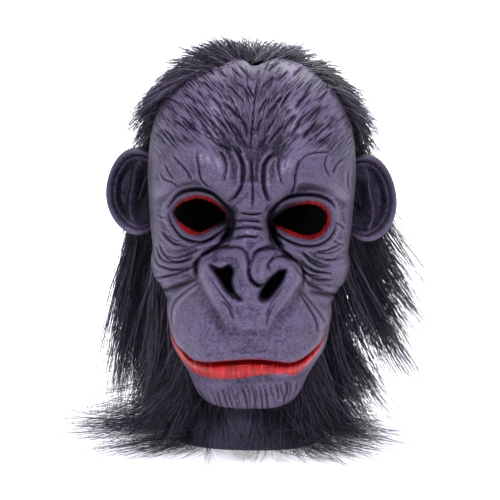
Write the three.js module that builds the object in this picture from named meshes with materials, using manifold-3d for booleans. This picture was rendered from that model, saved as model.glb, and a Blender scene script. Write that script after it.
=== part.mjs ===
// Gorilla mask that goes over the whole head. Millimetres, +Z up, the face looks toward -Y.
// The origin is the inside top of the crown, where the mask rests on a head.
// Tables give heights as a share of MASK_HEIGHT going down from the crown ("down"),
// sideways places as a share of HALF_WIDTH ("u", minus is the wearer's right), and reaches as
// a share of the size named beside each table.
import * as THREE from 'three';
import { mergeVertices } from 'three/addons/utils/BufferGeometryUtils.js';
import Module from 'manifold-3d';

const wasm = await Module();
wasm.setup();

// Head and face sizes
const MASK_HEIGHT = 310;      // crown of the latex form to the neck hem
const HALF_WIDTH = 84;        // widest half width, just above the ears
const HEAD_FRONT = 97;        // head axis to the front of the forehead form
const HEAD_BACK = 98;         // head axis to the back of the skull
const DOME_SHARE = 0.32;      // part of the height taken by the dome
const FACE_REACH = 158;       // head axis to the tip of the muzzle
const MUZZLE_HALF = 61;       // half width of the muzzle
const NOSE_HALF = 39;         // half width across the nose wings
const NOSE_BACK = 86;         // head axis to where the nose leaves the face
const MUZZLE_BACK = 25;       // head axis to where the muzzle's sides leave the head
const BROW_REACH = 15;        // how far the brow overhangs the eyes
const CHEEK_REACH = 9;        // how far the cheek bags stand out
const SOCKET_DEPTH = 7;       // hollow round each eye

// Walls and gaps
const LATEX_WALL = 2.6;       // thickness of the cast skin
const BACKING_WALL = 2.0;     // thickness of the fabric hood under the fur
const GLUE_GAP = 0.3;         // between two glued layers
const EDGE_GAP = 0.5;         // between the cut edge of the skin and the fur behind it
const HOOD_LAP = 11;          // how far the hood runs forward under the skin
const HOOD_HEM_RISE = 5;      // hem of the hood above the hem of the neck
const INNER_EASE = 6.5;       // how far the inside of the skin rounds off the hollows
const CHIN_EASE = 9;          // the same under the chin
const HEM_RUN = 20;           // how far the forms that cut the layers run on below the hem
const CROWN_STACK = LATEX_WALL + GLUE_GAP + BACKING_WALL;

// Ears
const EAR_HEIGHT = 76;
const EAR_OUT = 44;           // head side to the rim
const EAR_SINK = 7;           // how deep the root is let into the head's side
const EAR_DOWN = 0.355;       // share of the height from the crown to the middle of the ear
const EAR_SET = 4;            // root of the ear behind the head axis
const EAR_TILT = 0.30;        // radians, the rim lies further back than the root
const EAR_RIM = 7;            // how far the rolled rim stands forward
const EAR_WALL = 3;
const EAR_ROOM = 2;           // between the ear and the fur behind and round it

// Fur
const CROWN_PILE = 12;        // depth of the brushed fur over the crown
const TEMPLE_PILE = 17;       // depth at the widest part
const NAPE_PILE = 9;          // depth low on the sides and back
const EDGE_PILE = 3.5;        // depth where the fur meets the skin
const PILE_TAPER = 24;        // how far behind the skin it reaches full depth
const LOCK_WIDTH = 20;
const LOCK_THICK = 8;
const CROWN_LOCK = 44;        // lengths of the locks
const MANE_LOCK = 150;
const COLLAR_LOCK = 115;
const COLLAR_WIDTH = 34;      // height of the band that holds the neck fringe

// Level sections of the head form, crown dome left out
const HEAD_SECTIONS = [
  { down: 0.320, side: 1.000, front: 1.000, back: 1.000 },
  { down: 0.420, side: 0.975, front: 0.950, back: 0.985 },
  { down: 0.485, side: 0.950, front: 0.930, back: 0.955 },
  { down: 0.525, side: 0.915, front: 0.905, back: 0.925 },
  { down: 0.570, side: 0.820, front: 0.885, back: 0.890 },
  { down: 0.630, side: 0.740, front: 0.865, back: 0.850 },
  { down: 0.695, side: 0.715, front: 0.855, back: 0.810 },
  { down: 0.775, side: 0.690, front: 0.825, back: 0.765 },
  { down: 0.845, side: 0.680, front: 0.740, back: 0.730 },
  { down: 0.920, side: 0.690, front: 0.660, back: 0.710 },
  { down: 1.000, side: 0.715, front: 0.640, back: 0.715 },
];
const STEEP_SHARE = 0.5;      // how much a steep wall counts when places are spaced along it
const SECTION_POWER = 2.5;    // squareness of each level section
const DOME_POWER = 2.6;       // squareness of the dome seen from the front

// Muzzle from its root to the chin: half width of MUZZLE_HALF, reach of FACE_REACH
const MUZZLE_SECTIONS = [
  { down: 0.485, half: 0.49, reach: 0.660 },
  { down: 0.530, half: 0.72, reach: 0.800 },
  { down: 0.580, half: 0.87, reach: 0.905 },
  { down: 0.630, half: 0.97, reach: 0.970 },
  { down: 0.670, half: 1.00, reach: 0.995 },
  { down: 0.705, half: 1.00, reach: 0.995 },
  { down: 0.730, half: 0.97, reach: 0.970 },
  { down: 0.760, half: 0.90, reach: 0.930 },
  { down: 0.795, half: 0.80, reach: 0.890 },
  { down: 0.830, half: 0.72, reach: 0.850 },
  { down: 0.852, half: 0.66, reach: 0.780 },
  { down: 0.870, half: 0.58, reach: 0.620 },
  { down: 0.885, half: 0.49, reach: 0.420 },
];

// Brow column, bridge and nose: half width of NOSE_HALF, reach of FACE_REACH
const NOSE_SECTIONS = [
  { down: 0.320, half: 0.39, reach: 0.710 },
  { down: 0.360, half: 0.36, reach: 0.715 },
  { down: 0.400, half: 0.34, reach: 0.695 },
  { down: 0.440, half: 0.36, reach: 0.710 },
  { down: 0.470, half: 0.44, reach: 0.745 },
  { down: 0.495, half: 0.72, reach: 0.830 },
  { down: 0.515, half: 0.95, reach: 0.890 },
  { down: 0.550, half: 1.00, reach: 0.935 },
  { down: 0.580, half: 0.90, reach: 0.970 },
  { down: 0.615, half: 0.75, reach: 0.995 },
  { down: 0.640, half: 0.59, reach: 1.000 },
  { down: 0.665, half: 0.41, reach: 0.950 },
];

// Lower edge of the brow and lower edge of the cheek bag, from the middle outward
const BROW_EDGE = [
  { u: 0.00, down: 0.390 }, { u: 0.10, down: 0.389 }, { u: 0.17, down: 0.374 },
  { u: 0.24, down: 0.360 }, { u: 0.32, down: 0.340 }, { u: 0.43, down: 0.326 },
  { u: 0.54, down: 0.324 }, { u: 0.65, down: 0.332 }, { u: 0.75, down: 0.348 },
  { u: 0.86, down: 0.365 }, { u: 0.95, down: 0.377 }, { u: 1.13, down: 0.394 },
];
const CHEEK_EDGE = [
  { u: 0.00, down: 0.387 }, { u: 0.19, down: 0.432 }, { u: 0.24, down: 0.471 },
  { u: 0.34, down: 0.503 }, { u: 0.43, down: 0.526 }, { u: 0.49, down: 0.552 },
  { u: 0.55, down: 0.580 }, { u: 0.62, down: 0.597 }, { u: 0.72, down: 0.600 },
  { u: 0.84, down: 0.584 }, { u: 0.91, down: 0.548 }, { u: 1.07, down: 0.516 },
];

// Broad valleys that the inside of the skin follows too: [u, down] along each, mm wide and deep
const VALLEYS = [
  { name: 'right nose fold', wide: 6.0, deep: 3.6,
    at: [[-0.18, 0.426], [-0.22, 0.450], [-0.30, 0.472], [-0.44, 0.497]] },
  { name: 'left nose fold', wide: 6.0, deep: 4.4,
    at: [[0.15, 0.402], [0.18, 0.431], [0.24, 0.466], [0.40, 0.500]] },
  { name: 'mouth line', wide: 6.0, deep: 6.0,
    at: [[-0.70, 0.690], [-0.57, 0.725], [-0.46, 0.738], [-0.19, 0.729], [0.03, 0.723],
      [0.20, 0.726], [0.36, 0.735], [0.50, 0.724], [0.64, 0.692]] },
];

// Folds in the outside of the skin only, a plus height stands out
const FOLDS = [
  { name: 'right nose wing', wide: 6.0, high: 6.5,
    at: [[-0.05, 0.494], [-0.12, 0.479], [-0.23, 0.476], [-0.34, 0.481], [-0.40, 0.502],
      [-0.40, 0.523], [-0.36, 0.546], [-0.28, 0.580], [-0.17, 0.625]] },
  { name: 'left nose wing', wide: 6.0, high: 6.5,
    at: [[0.09, 0.488], [0.17, 0.491], [0.25, 0.487], [0.35, 0.492], [0.40, 0.510],
      [0.41, 0.533], [0.35, 0.557], [0.27, 0.582], [0.13, 0.628]] },
  { name: 'septum', wide: 5.4, high: 4.5,
    at: [[-0.03, 0.501], [-0.03, 0.524], [-0.02, 0.547], [0.00, 0.570]] },
  { name: 'lower lip', wide: 7.0, high: 4.0,
    at: [[-0.55, 0.748], [-0.45, 0.757], [-0.20, 0.752], [0.05, 0.745], [0.25, 0.745],
      [0.38, 0.752], [0.50, 0.740]] },
  { name: 'right brow furrow', wide: 3.8, high: -1.6,
    at: [[-0.17, 0.231], [-0.12, 0.250], [-0.08, 0.290], [-0.10, 0.330], [-0.21, 0.365]] },
  { name: 'left brow furrow', wide: 3.6, high: -1.6,
    at: [[0.20, 0.246], [0.13, 0.263], [0.10, 0.301], [0.12, 0.336], [0.18, 0.368]] },
  { name: 'right upper lid', wide: 3.4, high: -1.5,
    at: [[-0.76, 0.388], [-0.66, 0.351], [-0.46, 0.337], [-0.27, 0.362], [-0.18, 0.396]] },
  { name: 'right lower lid', wide: 3.4, high: -1.4,
    at: [[-0.74, 0.421], [-0.62, 0.459], [-0.39, 0.461], [-0.20, 0.425]] },
  { name: 'left upper lid', wide: 3.4, high: -1.5,
    at: [[0.15, 0.404], [0.27, 0.359], [0.51, 0.345], [0.70, 0.360], [0.78, 0.384]] },
  { name: 'left lower lid', wide: 3.4, high: -1.4,
    at: [[0.16, 0.424], [0.37, 0.463], [0.60, 0.472], [0.76, 0.440]] },
  { name: 'right cheek wrinkle', wide: 3.2, high: -1.3,
    at: [[-0.85, 0.479], [-0.73, 0.516], [-0.58, 0.515], [-0.47, 0.500]] },
  { name: 'left cheek wrinkle', wide: 3.2, high: -1.3,
    at: [[0.42, 0.500], [0.55, 0.520], [0.70, 0.528], [0.80, 0.505]] },
];

// Holes cut straight through the skin, [u, down] round each
const EYE_HOLES = [
  { name: 'right eye', at: [[-0.68, 0.398], [-0.64, 0.383], [-0.56, 0.372], [-0.46, 0.367],
    [-0.35, 0.378], [-0.25, 0.404], [-0.35, 0.422], [-0.47, 0.436], [-0.60, 0.423]] },
  { name: 'left eye', at: [[0.21, 0.412], [0.35, 0.384], [0.46, 0.377], [0.56, 0.378],
    [0.67, 0.397], [0.67, 0.411], [0.61, 0.434], [0.46, 0.438], [0.33, 0.425]] },
];
const NOSTRILS = [
  { name: 'right nostril', at: [[-0.35, 0.512], [-0.27, 0.515], [-0.18, 0.509],
    [-0.14, 0.522], [-0.15, 0.545], [-0.10, 0.577], [-0.20, 0.567], [-0.28, 0.542]] },
  { name: 'left nostril', at: [[0.30, 0.522], [0.24, 0.518], [0.17, 0.532],
    [0.10, 0.556], [0.09, 0.578], [0.16, 0.578], [0.24, 0.560], [0.29, 0.541]] },
];
const EYE_RIM_HEIGHT = 2.2;   // rolled rim round each eye
const EYE_RIM_SET = 7.5;      // rim crest outside the hole
const EYE_RIM_WIDE = 5.5;

// Cut rear edge of the skin. Down the side: "fore" is forward of the head axis, of HEAD_FRONT
const SIDE_EDGE = [
  { down: -0.05, fore: 0.47 }, { down: 0.02, fore: 0.46 }, { down: 0.12, fore: 0.43 },
  { down: 0.18, fore: 0.37 }, { down: 0.205, fore: 0.28 }, { down: 0.225, fore: -0.08 },
  { down: 0.25, fore: -0.17 }, { down: 0.48, fore: -0.17 }, { down: 0.505, fore: -0.02 },
  { down: 0.525, fore: 0.26 }, { down: 0.645, fore: 0.20 }, { down: 0.80, fore: 0.03 },
  { down: 0.93, fore: -0.08 }, { down: 1.06, fore: -0.10 },
];
// Across the scalp: two lobes with a dip between them, added to the rows above, of HEAD_FRONT
const SCALP_EDGE = [
  { u: -1.20, fore: 0.00 }, { u: -0.70, fore: 0.03 }, { u: -0.45, fore: 0.02 },
  { u: -0.18, fore: -0.08 }, { u: 0.04, fore: 0.10 }, { u: 0.32, fore: -0.07 },
  { u: 0.62, fore: 0.10 }, { u: 0.90, fore: 0.02 }, { u: 1.20, fore: 0.00 },
];

// Ear from its middle to its rim, forward heights as shares of EAR_RIM
const EAR_PROFILE = [
  { out: 0.00, front: -0.80 },
  { out: 0.34, front: -0.70 },
  { out: 0.56, front: -0.10 },
  { out: 0.70, front: 0.62 },
  { out: 0.83, front: 1.00 },
  { out: 0.93, front: 0.80 },
  { out: 1.00, front: 0.20 },
];
const EARS = [
  { side: -1, out: 1.00, lean: 0.06 },
  { side: 1, out: 1.00, lean: -0.06 },
];

// Locks of fur on the hood. "from" and "to" are quarter turns round the head: -1 is the wearer's
// right side, 0 the back, 1 the left side, and past 1 the brow side. "flare" lifts a lock off the
// head, "fall" lays it downhill rather than backward, "spread" throws its tip outward.
const LOCK_ROWS = [
  { name: 'crown front', down: 0.030, from: -1.45, to: 1.45, count: 6, long: 0.85,
    length: CROWN_LOCK, flare: 0.60, fall: 0.10, spread: 0.00 },
  { name: 'crown back', down: 0.100, from: -1.00, to: 1.00, count: 6, long: 1.15,
    length: CROWN_LOCK, flare: 0.34, fall: 0.80, spread: 0.10 },
  { name: 'temple', down: 0.180, from: -0.94, to: 0.94, count: 7, long: 1.60,
    length: CROWN_LOCK, flare: 0.34, fall: 0.90, spread: 0.25 },
  { name: 'mane upper', down: 0.350, from: -0.76, to: 0.76, count: 6, long: 0.66,
    length: MANE_LOCK, flare: 0.34, fall: 1.00, spread: 0.50 },
  { name: 'mane lower', down: 0.550, from: -0.98, to: 0.98, count: 8, long: 0.66,
    length: MANE_LOCK, flare: 0.45, fall: 1.00, spread: 0.80 },
];
// Neck fringe: one row round the collar, lying out from its hem
const COLLAR_ROW = { down: 0.950, from: -0.90, to: 0.90, count: 13, flare: 1.10, spread: 1.00 };

function mix(a, b, t) {
  return a + (b - a) * t;
}

function clamp(v, low, high) {
  return Math.min(high, Math.max(low, v));
}

function ease(low, high, v) {
  const t = clamp((v - low) / (high - low), 0, 1);
  return t * t * (3 - 2 * t);
}

function level(down) {
  return CROWN_STACK - down * MASK_HEIGHT;
}

// Smooth reading of a table of rows by one of its columns
function read(rows, by, key, value) {
  const last = rows.length - 1;
  const v = clamp(value, rows[0][by], rows[last][by]);
  let i = 0;
  while (i < last - 1 && v > rows[i + 1][by]) {
    i += 1;
  }
  const slope = (j) => {
    const before = rows[Math.max(j - 1, 0)];
    const after = rows[Math.min(j + 1, last)];
    return (after[key] - before[key]) / (after[by] - before[by]);
  };
  const step = rows[i + 1][by] - rows[i][by];
  const t = (v - rows[i][by]) / step;
  const t2 = t * t;
  const t3 = t2 * t;
  return (2 * t3 - 3 * t2 + 1) * rows[i][key] + (t3 - 2 * t2 + t) * step * slope(i)
    + (3 * t2 - 2 * t3) * rows[i + 1][key] + (t3 - t2) * step * slope(i + 1);
}

// Rounded union of two reaches
function joined(a, b, soft) {
  return 0.5 * (a + b + Math.hypot(a - b, soft));
}

// A table curve in millimetres, with smooth points between its corners
function smoothLine(at, closed) {
  const pts = at.map(([u, down]) => new THREE.Vector3(u * HALF_WIDTH, level(down), 0));
  const curve = new THREE.CatmullRomCurve3(pts, closed, 'centripetal');
  return curve.getPoints((closed ? at.length : at.length - 1) * 3);
}

// Distance from a place on the face to a line, and how far along the line it lies
function nearest(line, x, z) {
  let best = Infinity;
  let share = 0;
  for (let i = 0; i < line.length - 1; i += 1) {
    const a = line[i];
    const ex = line[i + 1].x - a.x;
    const ez = line[i + 1].y - a.y;
    const t = clamp(((x - a.x) * ex + (z - a.y) * ez) / (ex * ex + ez * ez), 0, 1);
    const d = Math.hypot(x - a.x - t * ex, z - a.y - t * ez);
    if (d < best) {
      best = d;
      share = (i + t) / (line.length - 1);
    }
  }
  return { best, share };
}

function inside(line, x, z) {
  let odd = false;
  for (let i = 0; i < line.length - 1; i += 1) {
    const a = line[i];
    const b = line[i + 1];
    if ((a.y > z) !== (b.y > z) && x < ((b.x - a.x) * (z - a.y)) / (b.y - a.y) + a.x) {
      odd = !odd;
    }
  }
  return odd;
}

// Head form

// Half widths and reaches of the level section at a height, with the dome's shrinking on top
function section(down) {
  const low = Math.max(down, DOME_SHARE);
  const up = clamp(1 - down / DOME_SHARE, 0, 1);
  const shrink = Math.pow(Math.max(1 - Math.pow(up, DOME_POWER), 0), 1 / SECTION_POWER);
  return {
    side: HALF_WIDTH * read(HEAD_SECTIONS, 'down', 'side', low) * shrink,
    front: HEAD_FRONT * read(HEAD_SECTIONS, 'down', 'front', low) * shrink,
    back: HEAD_BACK * read(HEAD_SECTIONS, 'down', 'back', low) * shrink,
  };
}

// Place on the head form: turn in quarter turns, 0 the back, -1 and 1 the sides, 2 the front
function headPlace(turn, down) {
  const s = section(down);
  const a = (turn * Math.PI) / 2;
  const sx = Math.sin(a);
  const cy = Math.cos(a);
  const power = 2 / SECTION_POWER;
  const x = s.side * Math.sign(sx) * Math.pow(Math.abs(sx), power);
  const y = (cy >= 0 ? s.back : s.front) * Math.sign(cy) * Math.pow(Math.abs(cy), power);
  return new THREE.Vector3(x, y, level(down));
}

// Reach of the plain head form at a place on the face
function headReach(x, down) {
  const s = section(down);
  const e = Math.pow(Math.abs(x / Math.max(s.side, 1e-6)), SECTION_POWER);
  return s.front * Math.pow(clamp(1 - e, 0, 1), 1 / SECTION_POWER);
}

// Muzzle or nose: a stack of rounded sections on a back plane
function stackReach(rows, half, back, squareness, x, down) {
  const width = half * read(rows, 'down', 'half', down);
  const reach = FACE_REACH * read(rows, 'down', 'reach', down);
  const e = Math.pow(Math.abs(x / width), squareness);
  const past = Math.max(rows[0].down - down, down - rows[rows.length - 1].down, 0);
  const sink = 3 * past * MASK_HEIGHT;
  if (e < 1) {
    return back + (reach - back) * Math.pow(1 - e, 1 / 2.3) - sink;
  }
  return back - 200 * Math.min(e - 1, 1) - sink;
}

const valleyLines = VALLEYS.map((v) => smoothLine(v.at, false));
const foldLines = FOLDS.map((f) => smoothLine(f.at, false));
const holeLines = EYE_HOLES.map((h) => smoothLine(h.at, true));

// Head form with nose and muzzle joined on, below the given raising of the face
function stackedReach(x, down, raise) {
  const plain = headReach(x, down) + raise;
  const nosed = joined(plain, stackReach(NOSE_SECTIONS, NOSE_HALF, NOSE_BACK, 2.6, x, down), 5);
  return joined(nosed, stackReach(MUZZLE_SECTIONS, MUZZLE_HALF, MUZZLE_BACK, 2.8, x, down), 7);
}

// Main form of the face: brow, sockets, cheek bags, nose, muzzle, chin and the broad valleys
function faceReach(x, down) {
  const z = level(down);
  const out = Math.abs(x) / HALF_WIDTH;
  const hold = clamp(headReach(x, down) / (HEAD_FRONT / 2), 0, 1);
  let raise = 0;

  const overBrow = (read(BROW_EDGE, 'u', 'down', out) - down) * MASK_HEIGHT;
  const browFade = Math.exp(-Math.pow(Math.max(overBrow - 12, 0) / 26, 1.6));
  const notch = 1 - 0.28 * Math.exp(-Math.pow(x / 9, 2));
  const browBody = BROW_REACH * Math.exp(-Math.pow(out / 0.88, 4)) * notch * hold;
  const swell = Math.pow((out - 0.36) / 0.20, 2) + Math.pow((overBrow - 17) / 17, 2);
  const browSwell = (BROW_REACH / 3) * Math.exp(-Math.pow(swell, 1.3));
  raise += (browBody * browFade + browSwell) * ease(-5, 6, overBrow);

  const overCheek = (read(CHEEK_EDGE, 'u', 'down', out) - down) * MASK_HEIGHT;
  const cheekFade = Math.exp(-Math.pow(Math.max(overCheek - 8, 0) / 20, 1.8));
  const cheekBody = CHEEK_REACH * Math.exp(-Math.pow((out - 0.62) / 0.32, 4)) * hold;
  raise += cheekBody * cheekFade * ease(-9, 7, overCheek);
  let reach = stackedReach(x, down, raise);

  const socket = Math.pow((out - 0.45) / 0.345, 2) + Math.pow((down - 0.41) / 0.058, 2);
  reach -= SOCKET_DEPTH * Math.exp(-Math.pow(socket, 2)) * hold;

  VALLEYS.forEach((v, i) => {
    const near = nearest(valleyLines[i], x, z);
    reach -= v.deep * Math.exp(-Math.pow(near.best / v.wide, 2)) * hold;
  });
  return reach;
}

// Main form for the layers below the skin: the lowest relief close by, so the wall never thins.
// The bridge and the underside of the chin are eased whole, elsewhere only what lies on them.
function innerReach(x, down) {
  const bridge = INNER_EASE * (1 - ease(0.47, 0.51, down));
  const chin = (CHIN_EASE / MASK_HEIGHT) * ease(0.78, 0.83, down);
  let relief = Infinity;
  let stack = stackedReach(x, down + chin, 0);
  [-1, 0, 1].forEach((i) => {
    [-1, 0, 1].forEach((j) => {
      const near = Math.max(down + (j * INNER_EASE) / MASK_HEIGHT, 0.001);
      const limit = section(near).side;
      const at = clamp(x + i * INNER_EASE, -limit, limit);
      relief = Math.min(relief, faceReach(at, near) - stackedReach(at, near, 0));
      const beside = Math.max(down + (j * bridge) / MASK_HEIGHT, 0.001);
      const plain = headReach(x, down) - headReach(x + i * bridge, beside);
      if (Math.abs(x) < HALF_WIDTH * 0.6) {
        stack = Math.min(stack, stackedReach(x + i * bridge, beside, 0) + plain);
      }
    });
  });
  return stack + relief;
}

// The same with the folds, wings, lip and eye rims of the outside
function skinReach(x, down) {
  const z = level(down);
  let reach = faceReach(x, down);
  FOLDS.forEach((f, i) => {
    const near = nearest(foldLines[i], x, z);
    reach += f.high * Math.exp(-Math.pow(near.best / f.wide, 2.4));
  });
  holeLines.forEach((line) => {
    const away = nearest(line, x, z).best;
    const gap = inside(line, x, z) ? -away : away;
    reach += EYE_RIM_HEIGHT * Math.exp(-Math.pow((gap - EYE_RIM_SET) / EYE_RIM_WIDE, 2));
    reach -= 1.0 * (1 - ease(-1, 5, gap));
  });
  return reach;
}

// Grids of places over the whole head, rows from the crown to the hem

// Columns over the back in quarter turns, the outer two shared so that the walls nest
const SKIN_TURNS = [1, 0.85, 0.4, -0.4, -0.85];
const LAYER_TURNS = [1, 0.85, 0.6, 0.34, 0, -0.34, -0.6, -0.85];

// Rows set closer where the face is steep or detailed
function rowHeights(count, end, detail) {
  const samples = [];
  for (let i = 1; i <= 400; i += 1) {
    const t = i / 400;
    samples.push(t < 0.3 ? DOME_SHARE * (1 - Math.pow(Math.cos((t / 0.3) * Math.PI / 2), 0.77))
      : mix(DOME_SHARE, end, (t - 0.3) / 0.7));
  }
  const total = [0];
  for (let i = 1; i < samples.length; i += 1) {
    let way = 0;
    [0, 0.3, 0.55].forEach((u) => {
      const x0 = u * section(samples[i - 1]).side;
      const x1 = u * section(samples[i]).side;
      const rise = (samples[i] - samples[i - 1]) * MASK_HEIGHT;
      const jump = faceReach(x1, samples[i]) - faceReach(x0, samples[i - 1]);
      way += Math.hypot(rise, STEEP_SHARE * jump);
    });
    const busy = samples[i] > 0.3 && samples[i] < 0.88 ? detail : 1;
    total.push(total[i - 1] + way * busy);
  }
  const rows = [];
  let j = 0;
  for (let i = 0; i < count; i += 1) {
    const want = (total[total.length - 1] * i) / (count - 1);
    while (j < total.length - 2 && total[j + 1] < want) {
      j += 1;
    }
    const t = (want - total[j]) / (total[j + 1] - total[j]);
    rows.push(mix(samples[j], samples[j + 1], clamp(t, 0, 1)));
  }
  return rows;
}

// Places along one level: front columns at even arc length over the main form, then the back
function rowPlaces(down, frontCount, backTurns, reachOf) {
  const s = section(down);
  const power = 2 / SECTION_POWER;
  const dense = [];
  let way = 0;
  for (let i = 0; i <= 200; i += 1) {
    const x = -s.side * Math.sign(Math.cos((i * Math.PI) / 200))
      * Math.pow(Math.abs(Math.cos((i * Math.PI) / 200)), power);
    const y = faceReach(x, down) * (i === 0 || i === 200 ? 0 : 1);
    if (i > 0) {
      const middle = Math.abs(x) < 0.62 * HALF_WIDTH && down > 0.3 && down < 0.88;
      way += Math.hypot(x - dense[i - 1].x, STEEP_SHARE * (y - dense[i - 1].y)) * (middle ? 1.4 : 1);
    }
    dense.push({ x, y, way });
  }
  const places = [];
  let j = 0;
  for (let i = 0; i < frontCount; i += 1) {
    const want = (way * i) / frontCount;
    while (j < 199 && dense[j + 1].way < want) {
      j += 1;
    }
    const t = (want - dense[j].way) / (dense[j + 1].way - dense[j].way);
    const x = mix(dense[j].x, dense[j + 1].x, t);
    const y = i === 0 ? 0 : -reachOf(x, down);
    places.push(new THREE.Vector3(x, y, level(down)));
  }
  backTurns.forEach((turn) => {
    places.push(headPlace(turn, down));
  });
  return places;
}

function headGrid(rows, frontCount, backTurns, reachOf) {
  return rows.map((down) => rowPlaces(down, frontCount, backTurns, reachOf));
}

// The grid moved along its own normals, out for plus and in for minus
function offsetGrid(grid, by) {
  const amount = typeof by === 'number' ? () => by : by;
  return grid.map((row, r) => row.map((p, c) => {
    const up = grid[Math.max(r - 1, 0)][c];
    const below = grid[Math.min(r + 1, grid.length - 1)][c];
    const along = row[(c + 1) % row.length].clone().sub(row[(c - 1 + row.length) % row.length]);
    const normal = along.cross(up.clone().sub(below)).normalize();
    if (r === 0) {
      normal.add(new THREE.Vector3(0, 0, 2)).normalize();
    }
    return p.clone().addScaledVector(normal, amount(p));
  }));
}

// Closed solid from a grid: fans at the crown and at a flat foot, which drop extends
function gridSolid(grid, crown, drop) {
  const places = [];
  const faces = [];
  const n = grid[0].length;
  const rows = grid.concat([grid[grid.length - 1].map((p) => new THREE.Vector3(p.x, p.y, drop))]);
  rows.forEach((row) => row.forEach((p) => places.push(p)));
  const top = places.length;
  places.push(new THREE.Vector3(0, 0, crown));
  places.push(new THREE.Vector3(0, 0, drop));
  for (let c = 0; c < n; c += 1) {
    const d = (c + 1) % n;
    faces.push([top, c, d]);
    for (let r = 0; r < rows.length - 1; r += 1) {
      faces.push([r * n + c, (r + 1) * n + c, (r + 1) * n + d]);
      faces.push([r * n + c, (r + 1) * n + d, r * n + d]);
    }
    faces.push([(rows.length - 1) * n + c, top + 1, (rows.length - 1) * n + d]);
  }
  return solidFrom(places, faces);
}

function solidFrom(places, faces) {
  const vertProperties = new Float32Array(places.length * 3);
  places.forEach((p, i) => vertProperties.set([p.x, p.y, p.z], i * 3));
  const triVerts = new Uint32Array(faces.flat());
  return new wasm.Manifold(new wasm.Mesh({ numProp: 3, vertProperties, triVerts }));
}

function solidOf(geometry) {
  const bare = new THREE.BufferGeometry();
  bare.setAttribute('position', geometry.attributes.position);
  if (geometry.index) {
    bare.setIndex(geometry.index);
  }
  const merged = mergeVertices(bare, 1e-4);
  return new wasm.Manifold(new wasm.Mesh({
    numProp: 3,
    vertProperties: new Float32Array(merged.attributes.position.array),
    triVerts: new Uint32Array(merged.index.array),
  }));
}

function block(x0, x1, y0, y1, z0, z1) {
  const box = new THREE.BoxGeometry(x1 - x0, y1 - y0, z1 - z0);
  box.translate((x0 + x1) / 2, (y0 + y1) / 2, (z0 + z1) / 2);
  return solidOf(box);
}

// Where the rear edge of the skin lies along Y
function edgeAt(u, down) {
  const scalp = 1 - ease(0.03, 0.20, down);
  const fore = read(SIDE_EDGE, 'down', 'fore', down) + scalp * read(SCALP_EDGE, 'u', 'fore', u);
  return -fore * HEAD_FRONT;
}

// Everything behind the rear edge of the skin, moved back by some millimetres
function behindEdge(back) {
  const rows = SIDE_EDGE;
  const across = SCALP_EDGE;
  const far = HEAD_BACK * 3;
  const places = [];
  const faces = [];
  const n = across.length;
  rows.forEach((row) => {
    across.forEach((col, c) => {
      const x = col.u * HALF_WIDTH * (c === 0 || c === n - 1 ? 2 : 1);
      places.push(new THREE.Vector3(x, edgeAt(col.u, row.down) + back, level(row.down)));
    });
  });
  const half = places.length;
  for (let i = 0; i < half; i += 1) {
    places.push(new THREE.Vector3(places[i].x, far, places[i].z));
  }
  for (let r = 0; r < rows.length; r += 1) {
    for (let c = 0; c < n; c += 1) {
      const a = r * n + c;
      if (r < rows.length - 1 && c < n - 1) {
        faces.push([a, a + n, a + n + 1], [a, a + n + 1, a + 1]);
        faces.push([half + a, half + a + n + 1, half + a + n], [half + a, half + a + 1, half + a + n + 1]);
      }
      if (r < rows.length - 1 && (c === 0 || c === n - 1)) {
        const side = [[a, half + a, half + a + n], [a, half + a + n, a + n]];
        side.forEach((f) => faces.push(c === 0 ? f : [f[0], f[2], f[1]]));
      }
      if (c < n - 1 && (r === 0 || r === rows.length - 1)) {
        const end = [[a, a + 1, half + a + 1], [a, half + a + 1, half + a]];
        end.forEach((f) => faces.push(r === 0 ? f : [f[0], f[2], f[1]]));
      }
    }
  }
  return solidFrom(places, faces);
}

// Straight hole along Y through the face
function holeThrough(at) {
  const line = smoothLine(at, true).slice(0, -1);
  const shape = new THREE.Shape(line.filter((p, i) => i % 2 === 0).map((p) => new THREE.Vector2(p.x, p.y)));
  const prism = new THREE.ExtrudeGeometry(shape, { depth: FACE_REACH, bevelEnabled: false });
  prism.rotateX(Math.PI / 2);
  prism.translate(0, -FACE_REACH * 0.3, 0);
  return solidOf(prism);
}

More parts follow.
